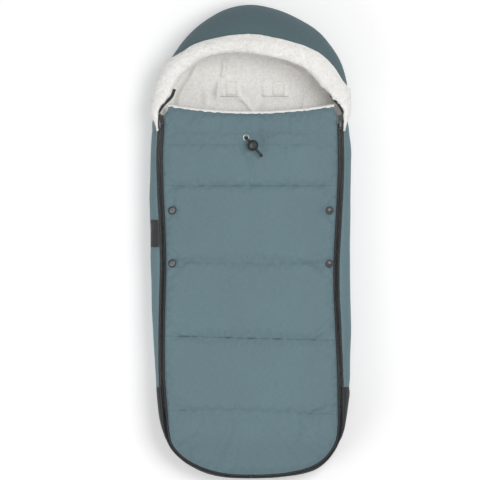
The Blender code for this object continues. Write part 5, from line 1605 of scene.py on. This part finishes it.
    def _top_roll(self) -> Piece:
        """The fleece edge along the cover's top: a rounded roll, half over the cloth and half beyond it."""
        share = np.linspace(-1, 1, 181)
        x = share * (self.half_width - self.corner_cut)
        y = self.top_y + self.top_rise * share**2
        gap = np.zeros(len(x))
        high = self.top_height(x, y, gap + 0.0006) + 0.0011
        low = self.base(y) - 0.0078
        middle, half = (high + low) / 2, (high - low) / 2
        angle = circle(26)
        lump = 1 + 0.10 * Rumple(0.008, 91, 2).at(x[:, None], angle[None] * 0.006)
        out = np.where(np.cos(angle) > 0, 0.0031, 0.0005)[None] * np.cos(angle)[None] * lump
        wrap = hump(angle, 2.0, 0.55)[None]
        z = middle[:, None] + half[:, None] * np.sin(angle)[None] * lump + 0.0006 * wrap
        points = spanned(x[:, None], y[:, None] + 0.0004 + out - 0.0026 * wrap, z)
        roll = tube_piece("cover_top_fleece", LAY.shift(points), sharp=180)
        return enter(roll, self.finishes.fleece, "front_flap", ("front_flap_piping",))

    def _stitches(self) -> list[Piece]:
        """Rows of stitches in the quilting, along both channel lines and beside the zips."""
        sets = {"cover_upper": ([], []), "cover_lower": ([], [])}
        for line in QUILTS + CHANNELS:
            x = spread(-self.half_width + 0.003, self.half_width - 0.003, self.stitch_pitch)
            y = line.y + line.slope * x
            word = "cover_upper" if line.y > PLAN.join_y else "cover_lower"
            sets[word][1 if line in CHANNELS else 0].append((x, y, 0.0))
        for sign in (-1, 1):
            for word, low, high in (("cover_upper", -0.190, 0.245), ("cover_lower", -0.350, -0.194)):
                y = spread(low, high, self.stitch_pitch)
                sets[word][0].append((np.full(len(y), sign * (self.half_width - 0.0022)), y, HALF_TURN / 2))
        made = []
        for word, groups in sets.items():
            for pale, group in enumerate(groups):
                if not group:
                    continue
                spots = [self._on_cloth(x, y, turn) for x, y, turn in group]
                points, along, up = (np.concatenate(rows) for rows in zip(*spots))
                name = f"{word}_{'channel_' if pale else ''}stitches"
                thread = self.finishes.pale_thread if pale else self.finishes.thread
                piece = stitch_row(name, points, along, up, self.stitch_radii[pale])
                made.append(enter(piece, thread, word))
        return made

    def _on_cloth(self, x: Array, y: Array, turn: float) -> Triple:
        """Points on the cloth, the way along a stitch there, and the cloth's normal."""
        step = 0.0008
        reads = []
        for dx, dy in ((0, 0), (step, 0), (0, step)):
            gap = self.edge_gap(x + dx, y + dy)
            reads.append(LAY.shift(np.stack((x + dx, y + dy, self.top_height(x + dx, y + dy, gap)), axis=1)))
        here, beside, above = reads
        up = unit(np.cross(beside - here, above - here))
        along = unit(beside - here) * math.cos(turn) + unit(above - here) * math.sin(turn)
        return here + up * 0.0002, unit(along), up


STITCH_LENGTH = 0.0023


def stitch_row(name: str, points: Array, along: Array, up: Array, radius: float) -> Piece:
    """One piece of many stitches: each a bent spindle of five rings of six, its ends sunk into the cloth."""
    across = np.cross(up, along)
    share = np.array((-1, -0.6, 0, 0.6, 1.0))
    thick = radius * np.array((0.25, 0.85, 1.0, 0.85, 0.25))
    rise = radius * np.array((-1.2, 0.1, 0.7, 0.1, -1.2))
    angle = np.arange(6) / 6 * FULL_TURN
    cosine, sine = np.cos(angle)[None, :, None], np.sin(angle)[None, :, None]
    ring = cosine * across[:, None, None] + sine * up[:, None, None]
    centre = points[:, None] + along[:, None] * (share * STITCH_LENGTH / 2)[None, :, None]
    centre = centre + up[:, None] * rise[None, :, None]
    rings = centre[:, :, None] + ring * thick[None, :, None, None]
    tips = [np.repeat(rings[:, k].mean(axis=1, keepdims=True)[:, None], 6, axis=2) for k in (0, -1)]
    rings = np.concatenate((tips[0], rings, tips[1]), axis=1)
    count, rows = rings.shape[:2]
    faces = grid_faces(rows, 6, loop=True)
    faces = (faces[None] + (np.arange(count) * rows * 6)[:, None, None]).reshape(-1, 4)
    uv = spanned(np.arange(rows)[:, None] * STITCH_LENGTH / rows, np.arange(6)[None] * radius)
    piece = mesh_piece(name, rings, faces, np.tile(uv, (count, 1, 1, 1)))
    merge_doubles(piece)
    return piece


def rope_rings(path: Array, radius: float, sides: int, guide: Array) -> tuple[Array, Array]:
    """Rings of a round tube about a path, square to it, and their cloth coordinates.

    Args:
        path: points of the middle line.
        radius: of the tube.
        sides: points in a ring.
        guide: a direction, or one for each point, that is never along the path.

    Returns:
        The rings, and the run along and round the tube in metres.
    """
    tangent = unit(np.gradient(path, axis=0))
    across = unit(np.cross(tangent, np.broadcast_to(guide, path.shape)))
    up = np.cross(across, tangent)
    angle = circle(sides)
    cosine, sine = np.cos(angle)[None, :, None], np.sin(angle)[None, :, None]
    rings = path[:, None] + radius * (across[:, None] * cosine + up[:, None] * sine)
    return rings, spanned(run_along(path)[:, None], (radius * angle)[None])


def smooth_run(points: Sequence[Sequence[float]], count: int) -> Array:
    """Points at even distances on the Catmull-Rom curve through the given ones."""
    rows = np.array(points, float)[:, None]
    dense = refined(np.concatenate((rows, rows + 1e-9), axis=1), 24)[:, 0]
    run = run_along(dense)
    wanted = np.linspace(0, run[-1], count)
    return np.stack([np.interp(wanted, run, dense[:, k]) for k in range(3)], axis=1)


def turned(profile: Sequence[tuple[float, float]], steps: int) -> Array:
    """Rings of a profile of radius and height, turned round an upright axis."""
    radius, height = (np.array(v)[:, None] for v in zip(*profile))
    angle = circle(steps)
    return spanned(radius * np.cos(angle), radius * np.sin(angle), height)


def turned_piece(
    name: str, profile: Sequence[tuple[float, float]], centre: Sequence[float], steps: int,
    lean: Array | None = None, sharp: float = 35,
) -> Piece:
    """A turned profile, leaned over and set in its place."""
    rings = turned(profile, steps)
    uv = spanned(rings[..., 2], circle(steps)[None] * 0.005)
    if lean is not None:
        rings = rings @ lean
    return tube_piece(name, rings + np.array(centre), uv, sharp)


def rounded(wave: Array, power: float) -> Array:
    """A sine or cosine drawn out towards its ends, as a rounded oblong's, by a power below 1."""
    return np.sign(wave) * np.abs(wave) ** power


@dataclass
class ZipHalves:
    """Both zips: woven tape on each side and a nylon coil along each meeting edge.

    Attributes:
        finishes: the materials.
        tape_thickness: of the woven tape.
        coil_middle: distance of a coil's axis from the zip's middle line.
        coil_radius: of the coil, to the middle of its wire, across and up.
        wire: radius of the coil's wire.
        turn: length of one turn of the coil.
    """

    finishes: Finishes
    tape_thickness: float = 0.0009
    coil_middle: float = 0.00135
    coil_radius: tuple[float, float] = (0.00105, 0.00085)
    wire: float = 0.00036
    turn: float = 0.0018

    def _tape(self, name: str, side: Side, run: Array, inner: Array, outer: float) -> Piece:
        """A closed band between two distances from the zip's middle line, its faces slightly crowned."""
        middle, across, up = PLAN.zip_frame(run)
        share = np.linspace(0, 1, 7)
        off = inner[:, None] + (outer - inner)[:, None] * share
        crown = 0.00035 * np.sin(HALF_TURN * share)
        wave = 0.00025 * Rumple(0.018, 101).at(run[:, None], share[None] * 0.02 + outer) * share[None]
        half = self.tape_thickness / 2
        plan = middle[:, None] + across[:, None] * off[..., None]
        top = plan + up[:, None] * (half + crown[None] + wave)[..., None]
        low = plan + up[:, None] * (-half + crown[None] * 0.3 + wave)[..., None]
        uv = arc_lengths(top)
        mirror = (side.value, 1, 1)
        return pad_piece(name, LAY.shift(top * mirror), LAY.shift(low * mirror), uv)

    def _coil(self, name: str, side: Side, start: float, end: float, sign: float) -> Piece:
        """A coil along the zip: a flattened helix of thin wire, its axis bent along the zip's line."""
        turns = (end - start) / self.turn
        angle = np.linspace(0, turns * FULL_TURN, round(turns * 9))
        run = start + (end - start) * angle / angle[-1]
        middle, across, up = PLAN.zip_frame(run)
        wide, high = self.coil_radius
        phase = angle + HALF_TURN * (sign > 0)
        off = sign * self.coil_middle + wide * np.cos(phase)
        path = middle + across * off[:, None] + up * (high * np.sin(phase))[:, None]
        radial = across * np.cos(phase)[:, None] + up * np.sin(phase)[:, None]
        rings, uv = rope_rings(path, self.wire, 4, radial)
        return tube_piece(name, LAY.shift(rings * (side.value, 1, 1)), uv, 180)

    def build(self) -> list[Piece]:
        """Make wall and cover halves on both sides, each split where the cover is."""
        line = PLAN.zip_line
        low, high = node_box("zip_slider_left")
        closed, opened, join = (float(line.at_y(y)) for y in (low[1] - 0.0012, high[1] + 0.0030, PLAN.join_y))
        last = line.length - 0.0043
        spans = (
            ("wall", "shell", ("wall",), -1.0, (0.001, last), ((opened, join), (join, last))),
            ("upper", "cover_upper", ("flap",), 1.0, (closed, join - 0.0001), ((closed, join - 0.0001),)),
            ("lower", "cover_lower", ("lower", "toe"), 1.0, (join + 0.0001, last), ((join + 0.0001, last),)),
        )
        made = []
        for side in Side:
            for word, carrier, nodes, sign, stretch, coils in spans:
                run = spread(*stretch, 0.003)
                outer = sign * (PLAN.zip_half_width + 0.0002)
                inner = sign * (0.0029 - 0.0026 * ease(-run, -opened, 0.006))
                name = f"zip_{side.word}_{word}"
                tape = self._tape(f"{name}_tape", side, run, inner, outer)
                replaced = [f"zip_{node}_{side.word}" for node in nodes]
                made.append(enter(tape, self.finishes.tape, carrier, replaced))
                for number, (start, end) in enumerate(coils):
                    coil = self._coil(f"{name}_coil_{number}", side, start, end, sign)
                    made.append(enter(coil, self.finishes.coil, carrier))
        return made + [self._end_tab()]

    def _end_tab(self) -> Piece:
        """The folded cloth tab where the zips meet at the toe's middle."""
        half = 0.0040
        rows = np.linspace(-half, half, 17)
        middle, across, up = PLAN.zip_frame(np.array([PLAN.zip_line.length]))
        angle = circle(28)
        off, rise = 0.0062 * rounded(np.cos(angle), 0.5), 0.0017 * rounded(np.sin(angle), 0.8)
        ring = middle[0] + across[0] * off[:, None] + up[0] * rise[:, None]
        rings = ring[None] + np.stack((rows, np.zeros(17), np.zeros(17)), axis=1)[:, None]
        tab = tube_piece("zip_end_fold", rings, spanned(rows[:, None], angle[None] * 0.004))
        return enter(tab, self.finishes.gusset, "shell", ("zip_end_tab",))


@dataclass
class Fittings:
    """Snaps, pull tabs, eyelet, ball lock, drawcord and knot, and the small CAD parts' finishes.

    Attributes:
        finishes: the materials.
        cover: the cover that they sit on.
        snap_radius: of a cap.
        snap_roll: radius of the cap's rolled rim.
        ball_radius: of the cord lock.
        cord_radius: of the drawcord.
        knot_radius: of the cord where it is knotted tight.
        knot_size: mean radius of the knot, how far it winds in and out, and how far up and down.
    """

    finishes: Finishes
    cover: Cover
    snap_radius: float = 0.008
    snap_roll: float = 0.0011
    ball_radius: float = 0.011
    cord_radius: float = 0.0012
    knot_radius: float = 0.00115
    knot_size: Sequence[float] = (0.00185, 0.00075, 0.0009)

    def _lean(self, x: float, y: float) -> Array:
        """Turn of rows from upright to the cover's own slope, averaged over 8 mm either way."""
        step = 8 * MM
        spots = np.array(((x + step, y), (x - step, y), (x, y + step), (x, y - step)))
        gap = self.cover.edge_gap(spots[:, 0], spots[:, 1])
        loft = self.cover.loft * dome(gap / self.cover.loft_width)
        z = self.cover.base(spots[:, 1]) + self.cover.swell(gap) + loft
        normal = Vector((-(z[0] - z[1]) / (2 * step), -(z[2] - z[3]) / (2 * step), 1))
        return np.array(Vector((0, 0, 1)).rotation_difference(normal).to_matrix()).T

    def snaps(self) -> list[Piece]:
        """Four caps with a rolled rim and a dished middle; the left ones' middles are paler, a painted
        reflection.
        """
        radius, rolled, made = self.snap_radius, self.snap_roll, []
        ring = radius - rolled
        angle = np.linspace(-HALF_TURN / 2, HALF_TURN, 11)[1:]
        profile = [
            (0, -0.0028), (radius * 0.72, -0.0028), (radius * 0.86, -0.0006), (ring, 0.0001),
            *((ring + rolled * math.cos(a), 0.0013 + rolled * math.sin(a)) for a in angle),
            (radius - 0.0025, 0.0011), (radius * 0.60, 0.0013), (radius * 0.44, 0.00165),
            (radius * 0.22, 0.0018), (0, 0.00185),
        ]
        for side in Side:
            for row, body in (("upper", "front_flap"), ("lower", "front_lower")):
                node = f"snap_{row}_{side.word}"
                centre = np.mean(node_box(node), axis=0) - (0, 0, 0.0012)
                lean = self._lean(*centre[:2])
                cap = turned_piece(f"snap_cap_{row}_{side.word}", profile, centre, 48, lean, 60)
                made.append(enter(cap, self.finishes.black_metal, body, (node,)))
                if side is Side.LEFT:
                    # Painted reflection: the upper middle of the left caps gets the paler metal.
                    cap.data.materials.append(self.finishes.snap_painted_reflection_metal.material)
                    corner = np.array([face.center for face in cap.data.polygons]) - centre
                    inside = np.hypot(corner[:, 0], corner[:, 1]) < radius - 0.0024
                    pale = (inside & (corner[:, 2] > 0)).astype(np.int32)
                    cap.data.polygons.foreach_set("material_index", pale)
        return made

    def pulls(self) -> list[Piece]:
        """Pull tabs: a rounded plate with a window for the slider's lug and a round hole at the free end."""
        made = []
        levels = (
            (0.80, -0.0008), (0.96, -0.0006), (1.0, -0.0002), (1.0, 0.0003), (0.96, 0.0006), (0.84, 0.0008),
            (0.74, 0.0006),
        )
        for side in Side:
            node = f"zip_pull_{side.word}"
            low, high = node_box(node)
            x, middle, z = (low + high) / 2
            half, length, _ = (high - low) / 2
            ring_x = half * rounded(np.cos(circle(72)), 0.55)
            ring_y = length * rounded(np.sin(circle(72)), 0.35)
            ring_x = ring_x * (1 - 0.22 * ease(-ring_y, 0, length))
            share, height = (np.array(v)[:, None] for v in zip(*levels))
            drawn = 1 - (1 - share) * half / length
            rings = spanned(x + ring_x * share, middle + ring_y * drawn, z + height)
            tab = tube_piece(f"pull_tab_{side.word}", rings, sharp=40)
            top, through = high[1] - 0.0016, 0.01
            corners = ((x - 0.0018, top - 0.0044, z - through), (x + 0.0018, top, z + through))
            bore = [(0, -through), (0.0019, -through), (0.0019, through), (0, through)]
            hole = turned_piece("hole", bore, (x, low[1] + 0.0042, z), 32)
            cut_away(tab, [box_piece("window", *corners), hole])
            tab.data.shade_smooth()
            tab.data.set_sharp_from_angle(angle=math.radians(40))
            made.append(enter(tab, self.finishes.black_metal, f"pull_{side.word}", (node,)))
        return made

    def eyelet(self) -> Piece:
        """The drawcord's eyelet: a rolled ring round its bore."""
        low, high = node_box("eyelet")
        centre = np.array((*(low + high)[:2] / 2, high[2] - 0.0013))
        roll = [(0.0053 + 0.0017 * math.cos(a), 0.0011 * math.sin(a)) for a in np.linspace(HALF_TURN, 0, 9)]
        profile = [(0.0036, -0.0016), *roll, (0.0070, -0.0004), (0.0044, -0.0006), (0.0042, -0.0016)]
        points = turned([*profile, profile[0]], 48) @ self._lean(*centre[:2]) + centre
        ring = mesh_piece("eyelet_ring", points, grid_faces(*points.shape[:2], loop=True))
        merge_doubles(ring)
        return enter(ring, self.finishes.nickel, "front_flap", ("eyelet",))

    def lock(self) -> list[Piece]:
        """The ball lock: a ball with a flat collar, and a domed button on a shaft."""
        centre, radius = self.lock_centre(), self.ball_radius
        angle = np.linspace(-HALF_TURN / 2, math.asin(0.0085 / radius), 26)[1:]
        ball = [(0, -radius), *((radius * math.cos(a), radius * math.sin(a)) for a in angle)]
        ball += [(0.0066, 0.0087), (0.0061, 0.0084), (0.0060, 0.0044), (0.0, 0.0042)]
        high = 0.0115
        cap = [(0, 0.0072), (0.0056, 0.0072), (0.0056, high), (0.0068, high), (0.0072, high + 0.0004)]
        cap += [(0.0072, high + 0.0015), (0.0067, high + 0.0023), (0.0055, high + 0.0028)]
        cap += [(0.0046, high + 0.0026), (0.0030, high + 0.0023), (0, high + 0.0022)]
        made = []
        halves = (("body", ball, 56, "cord_lock"), ("button", cap, 48, "lock_button"))
        for word, profile, steps, carrier in halves:
            piece = turned_piece(f"ball_lock_{word}", profile, centre, steps)
            made.append(enter(piece, self.finishes.plastic, carrier, (f"cord_lock_{word}",)))
        return made

    def lock_centre(self) -> Array:
        """The ball's centre: the middle of its box across, and a radius above its lowest point."""
        low, high = node_box("cord_lock_body")
        return np.array((*(low + high)[:2] / 2, low[2] + self.ball_radius))

    def cords(self) -> list[Piece]:
        """The drawcord: both strands in their channel and free from the eyelet to the knot, and the knot."""
        centre = self.lock_centre()
        low, high = node_box("eyelet")
        eye = np.array((*(low + high)[:2] / 2, high[2] - 0.0008))
        run = (centre - eye) * (1, 1, 0)
        run /= np.linalg.norm(run)
        across = np.array((-run[1], run[0], 0.0))
        knot = self._knot(np.mean(node_box("cord_knot"), axis=0), run, across)
        made = [enter(knot, self.finishes.cord, "front_flap", ("cord_knot",))]
        for side in Side:
            aside = across * (side.value * 0.0014)
            node = f"drawcord_{side.word}"
            low, high = node_box(node)
            far = low if side is Side.LEFT else high
            share = np.array((0.995, 0.75, 0.5, 0.25))
            x, y = far[0] * share + eye[0] * (1 - share), np.full(4, eye[1])
            z = self.cover.top_height(x, y, self.cover.edge_gap(x, y)) - 0.0046
            start = eye + aside
            bend = start + (side.value * 0.003, 0, -0.0046)
            channel = [*np.stack((x, y, z), axis=1), bend, start + (0, 0, -0.0012)]
            inner, uv = rope_rings(smooth_run(channel, 80), self.cord_radius, 10, (0, 1, 0.2))
            hidden = tube_piece(f"{node}_in_channel", inner, uv)
            rise = np.array((0, 0, (centre[2] - eye[2]) * 0.55))
            through = [centre + run * step + aside for step in (-0.0125, -0.011, 0, 0.011, 0.022)]
            out = [start, start + (0, 0, 0.0018) + run * 0.0006, start + rise + run * 0.0028]
            free = smooth_run(out + through, 70)
            rings, uv = rope_rings(free, self.cord_radius, 12, across)
            strand = tube_piece(f"{node}_free", rings, uv)
            made.append(enter(hidden, self.finishes.cord, "front_flap"))
            made.append(enter(strand, self.finishes.cord, "front_flap", (node,)))
        return made

    def _knot(self, centre: Array, run: Array, side: Array) -> Piece:
        """An overhand knot: a cord that winds three times round a small ring and twice through it."""
        t = np.linspace(0, FULL_TURN, 120)
        mean, swing, rise = self.knot_size
        ring = mean + swing * np.cos(3 * t)
        up = np.array((0, 0, 1.0))
        shares = (ring * np.cos(2 * t), ring * np.sin(2 * t), rise * np.sin(3 * t))
        path = centre + sum(share[:, None] * way for share, way in zip(shares, (run, side, up)))
        rings, uv = rope_rings(path[:-1], self.knot_radius, 10, up + run * 0.13)
        rings = np.concatenate((rings, rings[:1]))
        uv = np.concatenate((uv, uv[-1:] + 0.0001))
        knot = mesh_piece("drawcord_knot", rings, grid_faces(*rings.shape[:2], loop=True), uv, 180)
        merge_doubles(knot)
        return knot

    def small_parts(self) -> None:
        """Dress the sliders, stops, snap backs and the lock's spring, whose CAD shapes are kept."""
        for name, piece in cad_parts.items():
            if name.startswith(("zip_slider", "zip_stop", "snap_back")):
                self.finishes.black_metal.dress(piece)
            elif name == "cord_lock_spring":
                self.finishes.nickel.dress(piece)

    def build(self) -> list[Piece]:
        """Make and dress all fittings."""
        self.small_parts()
        return [*self.snaps(), *self.pulls(), self.eyelet(), *self.lock(), *self.cords()]


@dataclass
class HarnessFlaps:
    """The cloth flaps over the shoulder slits, with a stitched rectangle on each, and the bare label.

    Attributes:
        finishes: the materials.
        rectangles: left and right x of the stitched rectangle on each flap.
        hem: how far the rectangle lies above the flap's lower edge and below its upper one.
        curl: how far the flap's free edge stands up, and over what length, from how far below its seam.
    """

    finishes: Finishes
    rectangles: tuple[tuple[float, float], ...] = ((-0.050, -0.030), (0.044, 0.066))
    hem: tuple[float, float] = (0.003, 0.004)
    curl: tuple[float, float, float] = (0.0028, 0.014, 0.018)

    def _lift(self, below: Array) -> Array:
        """How far the flap has curled up at distances below its seam."""
        height, length, start = self.curl
        return height * ease(below, start, length)

    def _bounds(self, side: Side, low: Array, high: Array) -> tuple[float, float, float, float]:
        """Left, right, lower and upper edge of the stitched rectangle."""
        left, right = self.rectangles[(side.value + 1) // 2]
        return left, right, low[1] + self.hem[0], high[1] - self.hem[1]

    def _flap(self, side: Side, low: Array, high: Array) -> Piece:
        """A soft thin cloth: lattice unevenness, a free edge that curls up a little, rounded rims."""
        x, y = spread(low[0], high[0], 0.0009), spread(high[1], low[1], 0.0009)
        grid_y, grid_x = np.meshgrid(y, x, indexing="ij")
        beside, below = np.minimum(grid_x - low[0], high[0] - grid_x), grid_y - low[1]
        curl = self._lift(high[1] - grid_y) + 0.0006 * Rumple(0.014, 111 + side.value).at(grid_x, grid_y)
        left, right, bottom, top = self._bounds(side, low, high)
        inset = np.max((left - grid_x, grid_x - right, bottom - grid_y, grid_y - top), axis=0)
        curl = curl - 0.0012 * hump(inset, 0, 0.0011) + 0.0008 * ease(-inset, 0, 0.003)
        thick = (high[2] - low[2]) * (0.1 + 0.9 * ease(beside, 0, 0.007)) * (0.3 + 0.7 * dome(below / 0.0009))
        under = low[2] + np.maximum(curl, 0) * ease(beside, 0, 0.010)
        top, bottom = np.dstack((grid_x, grid_y, under + thick)), np.dstack((grid_x, grid_y, under))
        return pad_piece(f"harness_flap_{side.word}_cloth", top, bottom)

    def _rectangle(self, side: Side, low: Array, high: Array) -> Piece:
        """Stitches round the flap's rectangle."""
        left, right, bottom, top = self._bounds(side, low, high)
        corners = np.array(((left, bottom), (right, bottom), (right, top), (left, top), (left, bottom)))
        run = run_along(corners)
        places = spread(0.0012, run[-1] - 0.0012, 0.0029)
        plan, ahead = (
            np.stack([np.interp(at, run, c) for c in corners.T], axis=1) for at in (places, places + 0.0003)
        )
        points = np.column_stack((plan, high[2] + self._lift(high[1] - plan[:, 1]) - 0.0001))
        along = np.column_stack((unit(ahead - plan), np.zeros(len(plan))))
        up = np.tile((0.0, 0.0, 1.0), (len(points), 1))
        return stitch_row(f"harness_flap_{side.word}_stitches", points, along, up, 0.00045)

    def _label(self) -> Piece:
        """The bare ribbon, folded over at its free end and sewn in beside the zip."""
        run = spread(float(PLAN.zip_line.at_y(0.044)), float(PLAN.zip_line.at_y(-0.010)), 0.0012)
        turn = np.linspace(1.42, 1.98, 26)
        bend = 0.0012 * Rumple(0.02, 121).at(run[:, None], turn[None] * 0.02)
        middle = PLAN.wall_grid(PLAN.zip_wall(-run), -0.0012, turn)
        top, bottom = (LAY.shift(raise_along_normals(middle, bend + rise)) for rise in (0.0010, 0.0002))
        label = pad_piece("bare_label", top, bottom)
        return enter(label, self.finishes.ribbon, "shell", ("side_label",))

    def build(self) -> list[Piece]:
        """Make and dress flaps, their stitches and the label."""
        made = [self._label()]
        for side in Side:
            node = f"harness_flap_{side.word}"
            low, high = node_box(node)
            flap = enter(self._flap(side, low, high), self.finishes.fleece, node, (node,))
            # The stitches' darker thread partly stands for painted shade along the rectangle's groove.
            stitches = enter(self._rectangle(side, low, high), self.finishes.fleece_thread, node)
            made += [flap, stitches]
        return made


class Studio:
    """The pale floor, the soft light and the camera."""

    EYE = (-0.022, 0.004, 12.0)
    LENS = 447.75
    LAMPS = (("window", (1.0, 0.5, 2.6), 1.3, 35.0), ("fill", (-1.7, -1.1, 1.5), 1.3, 15.0))
    SKY = (0.42, 1.0)
    FLOOR = (0.86, 0.86, 0.86, 1)
    FLOOR_GLOW = 0.25
    WHITE = (1, 1, 1, 1)

    def floor(self) -> None:
        """A level floor that shows white and keeps the footmuff's shadow."""
        points = np.array(((-4, -4, 0), (4, -4, 0), (4, 4, 0), (-4, 4, 0)), float)
        floor = mesh_piece("floor", points, np.array(((0, 1, 2, 3),)))
        recipe = Recipe("white_floor", self.FLOOR, 0.9)
        grain = recipe.noise(recipe.place(), 300, 2)
        recipe.surface(Roughness=recipe.span(grain, 0.3, 0.7, 0.85, 0.95))
        path = recipe.tree.nodes.new("ShaderNodeLightPath")
        seen = recipe.sums("MAXIMUM", path.outputs["Is Camera Ray"], path.outputs["Is Glossy Ray"])
        seen = recipe.sums("MAXIMUM", seen, path.outputs["Is Transmission Ray"])
        glow = recipe.sums("MULTIPLY", seen, self.FLOOR_GLOW)
        recipe.surface(Emission_Color=self.WHITE, Emission_Strength=glow)
        recipe.dress(floor)

    def lights(self) -> None:
        """A large soft lamp from the upper right, a weaker one from the lower left, and an even pale sky."""
        for name, place, size, energy in self.LAMPS:
            data = bpy.data.lights.new(name, "AREA")
            data.shape, data.size, data.energy = "SQUARE", size, energy
            lamp = linked(name, data)
            lamp.location = place
            lamp.rotation_euler = (-Vector(place)).to_track_quat("-Z", "Y").to_euler()
        world = bpy.data.worlds.new("sky")
        bpy.context.scene.world = world
        world.use_nodes = True
        tree = world.node_tree
        background = tree.nodes["Background"]
        path = tree.nodes.new("ShaderNodeLightPath")
        seen = tree.nodes.new("ShaderNodeMath")
        seen.operation = "MAXIMUM"
        tree.links.new(path.outputs["Is Camera Ray"], seen.inputs[0])
        tree.links.new(path.outputs["Is Glossy Ray"], seen.inputs[1])
        strength = tree.nodes.new("ShaderNodeMapRange")
        for word, value in zip(("To Min", "To Max"), self.SKY):
            strength.inputs[word].default_value = value
        tree.links.new(seen.outputs[0], strength.inputs["Value"])
        tree.links.new(strength.outputs[0], background.inputs["Strength"])
        background.inputs["Color"].default_value = self.WHITE

    def camera(self) -> None:
        """Straight down from far off, framed as the photograph is."""
        data = bpy.data.cameras.new("camera")
        data.lens, data.sensor_width, data.clip_end = self.LENS, 36.0, 50.0
        camera = linked("camera", data)
        camera.location = self.EYE
        bpy.context.scene.camera = camera

    def build(self) -> None:
        """Set up floor, light, camera and plain colour."""
        self.floor()
        self.lights()
        self.camera()
        bpy.context.scene.view_settings.view_transform = "Standard"


def main() -> None:
    """Build camera, floor and light, then every sub-assembly in turn."""
    logging.basicConfig(level=logging.INFO, format="%(name)s: %(message)s")
    Studio().build()
    finishes = Finishes()
    cover = Cover(finishes)
    groups = {
        "fittings": Fittings(finishes, cover), "cover": cover, "walls": Walls(finishes),
        "back panel": BackPanel(finishes), "cuff": Cuff(finishes), "zips": ZipHalves(finishes),
        "harness flaps": HarnessFlaps(finishes),
    }
    for title, group in groups.items():
        for piece in group.build():
            LOG.info("%s: %s, %d faces", title, piece.name, len(piece.data.polygons))


if __name__ == "__main__":
    main()
